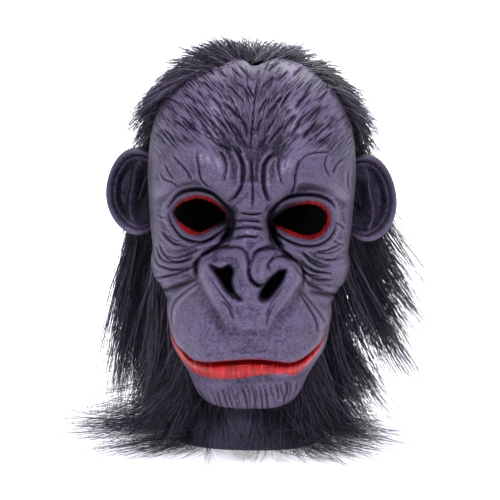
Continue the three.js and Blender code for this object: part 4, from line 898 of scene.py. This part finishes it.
def make_ear(name, side_sign, lean, seed, folds):
    """One ear as rings of a front and a back, closed in the middle of each."""
    spokes, rings = ((112, 76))
    a = np.linspace(0, 2 * math.pi, spokes, endpoint=False)[None, :]
    share = np.linspace(0.02, 1, rings)[:, None]
    rng = np.random.default_rng(seed)
    ripple = sum(rng.uniform(0.3, 1) * np.cos(k * a + rng.uniform(0, 6)) for k in (1, 2, 3)) / 3
    place_on = (share + 0.035 * ripple * np.sin(math.pi * share)).clip(0, 1)
    profile = read(EAR_PROFILE, 1, place_on)
    inner = ease(0.80, 0.60, share)
    high = profile + inner * (0.25 * ripple + folds * np.cos(2 * a - 1.0) * np.sin(9 * share))
    off = np.hypot(share * np.cos(a) + 0.24, 0.86 * share * np.sin(a) + 0.06) - 0.70
    ridge = np.exp(-((off / 0.075) ** 2)) * ease(-0.75, 0.1, np.cos(a)) * ease(1.0, 0.75, share)
    high = high + 0.85 * ridge
    lobe = 1 - 0.35 * ease(0, -1, np.sin(a)) * ease(0.5, 1, share)
    squash = 1 - 0.10 * np.sin(a) * np.cos(a)

    def put(share, deep):
        o = EAR_OUT * (0.12 + 0.28 * share + 0.60 * share * np.cos(a) * squash)
        q = EAR_HEIGHT / 2 * share * np.sin(a)
        px = HALF_WIDTH - EAR_SINK + o * math.cos(EAR_TILT) + deep * math.sin(EAR_TILT)
        py = EAR_SET + o * math.sin(EAR_TILT) - deep * math.cos(EAR_TILT)
        pz = level(EAR_DOWN) + q + lean * o
        return np.stack([side_sign * px, py + 0 * a, pz + 0 * a], -1).reshape(-1, 3)

    front = put(share, EAR_RIM * high * lobe)
    back_share = np.linspace(1.015, 0.05, BACK_RINGS)[:, None]
    back_deep = (EAR_RIM * 0.55 * ease(0.86, 1.0, back_share) - EAR_WALL
                 - EAR_RIM * 1.7 * ease(0.75, 0.2, back_share))
    rear = put(back_share, back_deep + 0 * a)
    count, centre = rings + BACK_RINGS, len(front) + len(rear)
    middles = [front[:spokes].mean(0)[None], rear[-spokes:].mean(0)[None]]
    verts = np.concatenate([front, rear, *middles])
    r, c = np.meshgrid(np.arange(count - 1), np.arange(spokes), indexing="ij")
    i = (r * spokes + c).ravel()
    k = (r * spokes + (c + 1) % spokes).ravel()
    quads = np.stack([i, i + spokes, k + spokes, k], 1)
    ring = np.arange(spokes)
    near = np.stack([np.full(spokes, centre), ring, (ring + 1) % spokes], 1)
    last = (count - 1) * spokes
    far = np.stack([np.full(spokes, centre + 1), last + (ring + 1) % spokes, last + ring], 1)
    if side_sign < 0:
        quads, near, far = quads[:, ::-1], near[:, ::-1], far[:, ::-1]
    item = make_mesh(name, verts, quads, latex.material, fans=np.concatenate([near, far]))
    # Painted shade deep in the bowl and toward the head, less on the fold tops and the inner ridge
    bowl = (read(EAR_PROFILE, 2, place_on) + 0.5 * ease(0.1, -0.8, np.cos(a))
            - folds * inner * (high + 1.2) - 0.45 * ridge)
    # Painted highlight on the outward crest of the rim
    crest = 0.8 * ease(0.35, 0.75, profile) * ease(-0.5, 0.2, np.cos(a))
    # Painted shade over the back of the ear
    behind = np.full(BACK_RINGS * spokes, BACK_SHADE)
    shade = np.concatenate([np.clip(bowl, 0.05, 0.97).ravel(), behind, [0.97, BACK_SHADE]])
    none = np.zeros(len(verts))
    highlight_and_wear = np.concatenate([crest.ravel(), none[crest.size:]])
    for label, values in (("painted_shade", shade), ("highlight_and_wear", highlight_and_wear), ("smooth", none + 1),
                          ("paint", none), ("streak_u", none), ("streak_v", none),
                          ("brushed", none)):
        store(item, label, values)
    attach(item, "root")
    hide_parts("face_casting")


make_ear("ear_right_side", -1, 0.06, 3, 0.05)
make_ear("ear_left_side", 1, -0.06, 8, 0.35)

# Hood backing.
# Knitted fabric shell over the back of the head that carries the fur; its front edge is glued
# under the skin. Only its inside and hem show under the hair.
cloth = Paint("hood_cloth")
weave_place = cloth.object_place()
weave = cloth.node("ShaderNodeTexWave",
                   {"Vector": weave_place, "Scale": 420.0, "Distortion": 1.5}, output="Fac")
knit = cloth.noise(weave_place, 500.0)
cloth.set(Base_Color=(weave * 0.5 + knit * 0.5).mix((0.004, 0.004, 0.005), (0.016, 0.015, 0.018)),
          Roughness=0.9)
cloth.bump(weave + knit, 0.0005, 0.5)

HOOD_LAP, HOOD_HEM_RISE, HOOD_ROWS, HOOD_COLUMNS, HOOD_TURN = 11.0, 5.0, 90, 120, 1.8
hood_rows = spaced_rows(HOOD_ROWS, ([0.0, 1.0], [1.0, 1.0])) * (1 - HOOD_HEM_RISE / MASK_HEIGHT)
hood_down = np.repeat(hood_rows[:, None], HOOD_COLUMNS, 1)
turn = np.repeat(np.linspace(-HOOD_TURN, HOOD_TURN, HOOD_COLUMNS)[None, :], HOOD_ROWS, 0)
hood = head_place(turn, hood_down)[:, ::-1]
hood_out = grid_normals(hood)
h_cut = edge_at(hood[..., 0] / HALF_WIDTH, hood_down) - HOOD_LAP - hood[..., 1]
o_verts, o_faces, _ = trim(hood + hood_out * -(LATEX_WALL + GLUE_GAP), h_cut, BACKING_WALL)
i_verts, i_faces, _ = trim(hood + hood_out * -CROWN_STACK, h_cut, 0.01)
hood_ob = make_mesh("hood_shell", np.concatenate([o_verts, i_verts]),
                    np.concatenate([o_faces, i_faces[:, ::-1] + len(o_verts)]), cloth.material)
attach(hood_ob, "root")
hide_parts("hood_backing")

# Fur.
# Long pile of fine black hair on the hood, brushed back over the crown, hanging from the
# temples as a mane and lying out round the neck. Guide hairs are combed along the head and a
# node tree grows a tuft round each one.
TABLE = -304.4  # the hair rests on the table, mm
FUR_LOW, FUR_HIGH = (-0.187, -0.181), (0.177, 0.168, 0.040)  # farthest any hair reaches, m
GUIDE_POINTS = 5
HAIR_DARK, HAIR_HIGHLIGHT = (0.0012, 0.0011, 0.0016), (0.125, 0.104, 0.170)
hair = Paint("black_hair")
# Painted highlight: a random share of the strands is drawn lighter; every strand is also a little
# lighter toward its tip
hair_highlight = hair.attribute("tone").ramp(0.66, 0.90) * 0.85 + hair.attribute("along") * 0.08
hair.set(Base_Color=hair_highlight.clip().mix(HAIR_DARK, HAIR_HIGHLIGHT), Roughness=0.30,
         Specular_IOR_Level=0.35)


def tuft_tree():
    """Grows hairs round each guide, closing toward the tip, with a little frizz."""
    tree = bpy.data.node_groups.new("tufts", "GeometryNodeTree")
    face = tree.interface
    face.new_socket("Guides", in_out="INPUT", socket_type="NodeSocketGeometry")
    for label, kind, value in (
            ("Hairs", "Int", 20), ("Spread", "Float", 0.004), ("Clump", "Float", 0.5),
            ("Frizz", "Float", 0.003), ("Frizz Scale", "Float", 40.0), ("Stray", "Float", 0.006),
            ("Width", "Float", 0.0003), ("Shortest", "Float", 0.5), ("Seed", "Int", 1),
            ("Material", "Material", None)):
        made = face.new_socket(label, in_out="INPUT", socket_type="NodeSocket" + kind)
        if value is not None:
            made.default_value = value
    face.new_socket("Fur", in_out="OUTPUT", socket_type="NodeSocketGeometry")

    def node(kind, links=None, **settings):
        made = tree.nodes.new(kind)
        for key, value in settings.items():
            setattr(made, key, value)
        for key, value in (links or {}).items():
            if isinstance(value, bpy.types.NodeSocket):
                tree.links.new(value, made.inputs[key])
            else:
                made.inputs[key].default_value = value
        return made

    def vec(kind, *values):
        made = node("ShaderNodeVectorMath", dict(enumerate(values)), operation=kind)
        return made.outputs["Value" if kind == "DOT_PRODUCT" else "Vector"]

    def scaled(v, by):
        return node("ShaderNodeVectorMath", {0: v, "Scale": by}, operation="SCALE").outputs[0]

    def num(kind, *values):
        return node("ShaderNodeMath", dict(enumerate(values)), operation=kind).outputs[0]

    given = node("NodeGroupInput").outputs
    lines = node("GeometryNodeMeshToCurve", {"Mesh": given["Guides"]})
    more = node("GeometryNodeDuplicateElements",
                {"Geometry": lines.outputs[0], "Amount": given["Hairs"]}, domain="SPLINE")
    hair_number = node("GeometryNodeFieldOnDomain",
                       {0: node("GeometryNodeInputIndex").outputs[0]},
                       domain="CURVE", data_type="INT").outputs[0]

    def chance(low, high, seed_add, kind="FLOAT_VECTOR"):
        wide = kind == "FLOAT_VECTOR"
        ends = {0: low, 1: high} if wide else {2: low, 3: high}
        seed = num("ADD", given["Seed"], seed_add)
        made = node("FunctionNodeRandomValue", {**ends, "ID": hair_number, "Seed": seed},
                    data_type=kind)
        return made.outputs[0 if wide else 1]

    factor = node("GeometryNodeSplineParameter").outputs["Factor"]
    outward = node("GeometryNodeInputNamedAttribute", {"Name": "outward"},
                   data_type="FLOAT_VECTOR").outputs[0]
    aside = chance((-1, -1, -1), (1, 1, 1), 0)
    flat = vec("SUBTRACT", aside, scaled(outward, vec("DOT_PRODUCT", aside, outward)))
    closing = num("SUBTRACT", 1.0, num("MULTIPLY", factor, given["Clump"]))
    offset = scaled(scaled(flat, given["Spread"]), closing)
    stray = chance((-1, -1, -1), (1, 1, 1), 17)
    offset = vec("ADD", offset, scaled(scaled(stray, given["Stray"]), num("POWER", factor, 1.5)))
    phase = vec("ADD", node("GeometryNodeInputPosition").outputs[0],
                vec("MULTIPLY", stray, (0.08, 0.08, 0.08)))
    noise = node("ShaderNodeTexNoise",
                 {"Vector": phase, "Scale": given["Frizz Scale"], "Detail": 1.0})
    wave = vec("SUBTRACT", noise.outputs["Color"], (0.5, 0.5, 0.5))
    offset = vec("ADD", offset, scaled(scaled(wave, given["Frizz"]), factor))
    moved = node("GeometryNodeSetPosition", {"Geometry": more.outputs[0], "Offset": offset})
    held = vec("MAXIMUM", node("GeometryNodeInputPosition").outputs[0], (*FUR_LOW, TABLE / 1000))
    held = vec("MINIMUM", held, FUR_HIGH)
    moved = node("GeometryNodeSetPosition", {"Geometry": moved.outputs[0], "Position": held})
    length = node("FunctionNodeRandomValue", {2: given["Shortest"], 3: 1.0}, data_type="FLOAT")
    shown = node("GeometryNodeTrimCurve", {0: moved.outputs[0], "End": length.outputs[1]},
                 mode="FACTOR")
    for label, value in (("tone", chance(0.0, 1.0, 5, "FLOAT")), ("along", factor)):
        shown = node("GeometryNodeStoreNamedAttribute",
                     {"Geometry": shown.outputs[0], "Name": label, "Value": value},
                     data_type="FLOAT", domain="POINT")
    thinner = num("MULTIPLY", num("POWER", factor, 2.0), 0.8)
    taper = num("MULTIPLY", given["Width"], num("SUBTRACT", 1.0, thinner))
    ring = node("GeometryNodeCurvePrimitiveCircle", {"Resolution": 3, "Radius": 1.0}, mode="RADIUS")
    tube = node("GeometryNodeCurveToMesh", {"Curve": shown.outputs[0], "Scale": taper,
                                            "Profile Curve": ring.outputs[0], "Fill Caps": True})
    real = node("GeometryNodeRealizeInstances", {0: tube.outputs[0]})
    dressed = node("GeometryNodeSetMaterial",
                   {"Geometry": real.outputs[0], "Material": given["Material"]})
    tree.links.new(dressed.outputs[0], node("NodeGroupOutput").inputs[0])
    return tree


tufts = tuft_tree()


def outward_of(turn, down):
    a, b = head_place(turn - 0.02, down), head_place(turn + 0.02, down)
    c, d = head_place(turn, np.maximum(down - 0.01, 0.001)), head_place(turn, down + 0.01)
    n = unit(-np.cross(b - a, c - d))
    centre = np.array([0, 0, level(0.35)])
    return n * np.sign(((head_place(turn, down) - centre) * n).sum(-1, keepdims=True))


def clear_of_head(p, margin):
    """Pushes places that dip into the head out to its side."""
    d = np.clip((CROWN_STACK - p[..., 2]) / MASK_HEIGHT, 0.01, 1)
    s_side, s_front, s_back = section(d)
    depth = np.where(p[..., 1] >= 0, s_back, s_front)
    e = (np.abs(p[..., 0] / (s_side + margin)) ** SECTION_POWER
         + np.abs(p[..., 1] / (depth + margin)) ** SECTION_POWER)
    grow = np.where((e < 1) & (p[..., 2] < 0), np.maximum(e, 0.3) ** (-1 / SECTION_POWER), 1)
    out = p.copy()
    out[..., :2] *= grow[..., None]
    return out


def over_ear(line):
    """Marks guides that would hang over the front of an ear."""
    away = np.abs(line[..., 0]) - (HALF_WIDTH - EAR_SINK + EAR_OUT * 0.42)
    high = line[..., 2] - level(EAR_DOWN)
    disc = (away / (EAR_OUT * 0.74)) ** 2 + (high / (EAR_HEIGHT * 0.60)) ** 2 < 1
    ahead = line[..., 1] < EAR_SET + 15 + 0.35 * np.maximum(away, -20)
    return (disc & ahead).any(axis=1)


def grow_fur(name, node, guides, hairs, **sizes):
    """One fur piece: guides is a list of arrays (n, points, 3) in mm with their outward way."""
    lines = np.concatenate([g for g, _ in guides])
    ways = np.concatenate([w for _, w in guides])
    n = len(lines)
    data = bpy.data.meshes.new(name)
    number = np.arange(n * GUIDE_POINTS).reshape(n, GUIDE_POINTS)
    edges = np.stack([number[:, :-1].ravel(), number[:, 1:].ravel()], 1)
    data.vertices.add(n * GUIDE_POINTS)
    data.vertices.foreach_set("co", (lines / 1000).astype(np.float32).ravel())
    data.edges.add(len(edges))
    data.edges.foreach_set("vertices", edges.astype(np.int32).ravel())
    layer = data.attributes.new("outward", "FLOAT_VECTOR", "POINT")
    outward = np.repeat(ways, GUIDE_POINTS, 0).astype(np.float32).ravel()
    layer.data.foreach_set("vector", outward)
    item = bpy.data.objects.new(name, data)
    scene.collection.objects.link(item)
    modifier = item.modifiers.new("tufts", "NODES")
    modifier.node_group = tufts
    asked = {"Hairs": hairs, "Material": hair.material, **sizes}
    for socket in tufts.interface.items_tree:
        if socket.in_out == "INPUT" and socket.name in asked:
            modifier[socket.identifier] = asked[socket.name]
    shaped = item.evaluated_get(bpy.context.evaluated_depsgraph_get())
    grown = bpy.data.meshes.new_from_object(shaped)
    item.modifiers.clear()
    item.data = grown
    item.data.polygons.foreach_set("use_smooth", np.ones(len(grown.polygons), bool))
    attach(item, "root")
    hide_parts(node)


ANYWHERE = 200  # roots may lie this far ahead of the skin's rear edge: no limit


def comb(count, seed, turns, downs, length, lift, fall, back, spread, drop, floor=None, sway=0.16,
         ahead_of_edge=-1.5, root_in=2.0, margin=3.0, push=(0, 0, 0), dome=False):
    """Guides rooted on a patch of the hood. Lay: fall down, back, lift off the head; then the
    tips turn down by drop and out by spread, plus a push in world directions."""
    rng = np.random.default_rng(seed)
    turn = rng.uniform(*turns, count * 3)
    down = rng.uniform(*downs, count * 3)
    if dome:  # even over the top: downs are shares of the crown's width
        wide = np.sqrt(rng.uniform(downs[0] ** 2, downs[1] ** 2, count * 3))
        down = DOME_SHARE * (1 - (1 - wide**SECTION_POWER) ** (1 / DOME_POWER))
    place = head_place(turn, down)
    keep = place[:, 1] > edge_at(place[:, 0] / HALF_WIDTH, down) - ahead_of_edge
    turn, down, place = turn[keep][:count], down[keep][:count], place[keep][:count]
    n = outward_of(turn, down)
    m = len(turn)
    lay = np.stack([np.zeros(m), np.full(m, back), np.full(m, -fall)], 1)
    if dome:
        away = np.stack([place[:, 0], 0.4 * place[:, 1], np.zeros(m)], 1)
        lay = lay + away / HALF_WIDTH * 1.6
    lay = unit(lay - n * (lay * n).sum(1, keepdims=True))
    start = unit(lay + n * lift + rng.normal(0, sway, (m, 3)), 0)
    out = np.stack([n[:, 0], 0.6 * n[:, 1], np.zeros(m)], 1)
    end = (start * 0.5 + lay * (1.5 if dome else 0) + np.array([0, 0, -1.0]) * drop
           + out * spread + np.array(push) + rng.normal(0, sway, (m, 3)))
    size = length * rng.uniform(0.7, 1.15, (m, 1))
    root = place - n * root_in
    mid = root + start * size * 0.45
    tip = mid + unit(end, 0) * size * 0.6
    t = np.linspace(0, 1, GUIDE_POINTS)[None, :, None]
    line = (1 - t) ** 2 * root[:, None] + 2 * t * (1 - t) * mid[:, None] + t**2 * tip[:, None]
    line = clear_of_head(line, 0.5 + margin * t[..., 0])
    line[:, 0] = root
    free = ~over_ear(line)
    line, n = line[free], n[free]
    if floor is not None:
        line[..., 2] = np.maximum(line[..., 2], floor + 2.0 * rng.uniform(0, 1, (len(line), 1)))
    return line, n


# Crown, brushed back and to both sides
grow_fur("fur_crown", "hood_fur", [
    comb(165, 11, (-2.0, 2.0), (0.12, 0.55), 37, 0.95, 0.2, 0.5, 0.2, 0.10, sway=0.20, dome=True),
    comb(95, 15, (-3.1, 3.1), (0.00, 0.30), 31, 1.3, 0.1, 0.3, 0.0, -0.10, sway=0.34, dome=True),
    comb(225, 14, (-2.0, 2.0), (0.50, 0.86), 42, 0.62, 0.9, 0.2, 0.1, 0.95, sway=0.18, dome=True),
    comb(225, 12, (-1.35, -0.60), (0.07, 0.26), 46, 0.72, 0.9, 0.15, 0.15, 0.95, sway=0.14),
    comb(225, 13, (0.60, 1.35), (0.07, 0.26), 48, 0.75, 0.9, 0.15, 0.20, 0.95, sway=0.14),
], 9, Spread=0.010, Clump=-0.3, Frizz=0.012, Stray=0.007, Width=0.00035, Shortest=0.50, Seed=4)

# Back of the head
grow_fur("fur_back", "hood_fur", [
    comb(190, 21, (-0.75, 0.75), (0.05, 0.35), 70, 0.25, 1.0, 0.3, 0.05, 0.8),
    comb(200, 22, (-0.75, 0.75), (0.33, 0.85), 95, 0.28, 1.0, 0.1, 0.15, 0.9, TABLE),
], 14, Spread=0.006, Clump=0.6, Frizz=0.006, Stray=0.006, Width=0.00034, Shortest=0.5, Seed=5)

# Hanging almost straight on the wearer's right side
grow_fur("fur_mane_right_side", "hood_fur", [
    comb(110, 31, (-1.20, -0.70), (0.25, 0.46), 205, 0.32, 1.0, 0.05, 0.0, 1.6, sway=0.09),
    comb(140, 33, (-1.32, -0.75), (0.42, 0.66), 150, 0.45, 1.0, 0.00, 0.02, 1.4, sway=0.12),
    comb(140, 32, (-1.40, -0.72), (0.60, 0.88), 95, 0.50, 1.0, 0.00, 0.15, 1.0, TABLE),
], 15, Spread=0.007, Clump=0.55, Frizz=0.009, Stray=0.010, Width=0.00028, Shortest=0.45, Seed=6)

# Swept out and down on the wearer's left side
grow_fur("fur_mane_left_side", "hood_fur", [
    comb(120, 41, (0.70, 1.20), (0.27, 0.50), 148, 0.50, 0.9, 0.05, 0.78, 0.90, sway=0.12),
    comb(84, 43, (0.70, 1.38), (0.45, 0.70), 118, 0.70, 0.9, 0.00, 0.75, 0.85, sway=0.14),
    comb(120, 42, (0.70, 1.40), (0.62, 0.88), 92, 0.60, 1.0, 0.00, 0.35, 0.85, TABLE),
], 15, Spread=0.007, Clump=0.72, Frizz=0.009, Stray=0.010, Width=0.00028, Shortest=0.45, Seed=7)

# Neck fringe: thin wisps out over the table on both sides, and sparse hair over the neck band
grow_fur("fur_collar", "collar_fur", [
    comb(40, 51, (-1.35, -0.70), (0.82, 0.94), 165, 0.7, 0.8, 0.0, 0.8, 0.50, TABLE, 0.34,
         push=(-1.6, -0.80, 0), margin=5.0),
    comb(46, 58, (-1.55, -1.05), (0.82, 0.935), 150, 0.4, 1.0, 0.0, 0.3, 0.45, TABLE, 0.34,
         ANYWHERE, push=(-0.95, -1.30, 0), margin=6.0),
    comb(32, 52, (0.60, 1.35), (0.84, 0.96), 120, 0.5, 1.0, 0.0, 0.5, 0.65, TABLE, 0.32,
         push=(0.45, -0.95, 0), margin=5.0),
    comb(44, 59, (1.05, 1.55), (0.82, 0.935), 135, 0.4, 1.0, 0.0, 0.3, 0.45, TABLE, 0.34,
         ANYWHERE, push=(0.45, -1.30, 0), margin=6.0),
    comb(36, 53, (-0.5, 0.5), (0.88, 0.975), 75, 0.7, 0.8, 0.0, 0.8, 0.4, TABLE),
    comb(36, 54, (1.00, 1.78), (0.865, 0.93), 66, 0.35, 1.0, 0.0, 0.35, 0.8, TABLE, 0.24,
         ANYWHERE, 0, push=(0.40, -0.45, 0), margin=5.0),
    comb(36, 55, (-1.75, -1.00), (0.865, 0.92), 52, 0.30, 1.0, 0.0, 0.30, 0.8, TABLE, 0.22,
         ANYWHERE, 0, push=(-0.35, -0.35, 0), margin=5.0),
    comb(60, 56, (-1.55, -1.00), (0.72, 0.89), 60, 0.25, 1.0, 0.0, 0.15, 0.9, TABLE, 0.16,
         ANYWHERE, 0),
    comb(60, 57, (1.00, 1.55), (0.72, 0.89), 60, 0.25, 1.0, 0.0, 0.15, 0.9, TABLE, 0.16,
         ANYWHERE, 0),
    comb(60, 60, (1.65, 4.63), (0.862, 0.880), 112, 0.45, 1.0, 0.0, 0.45, 0.80, TABLE, 0.28,
         ANYWHERE, 0, push=(0, -0.50, 0), margin=4.0),
], 12, Spread=0.010, Clump=-0.4, Frizz=0.022, Stray=0.022, Width=0.00021, Shortest=0.22, Seed=8)
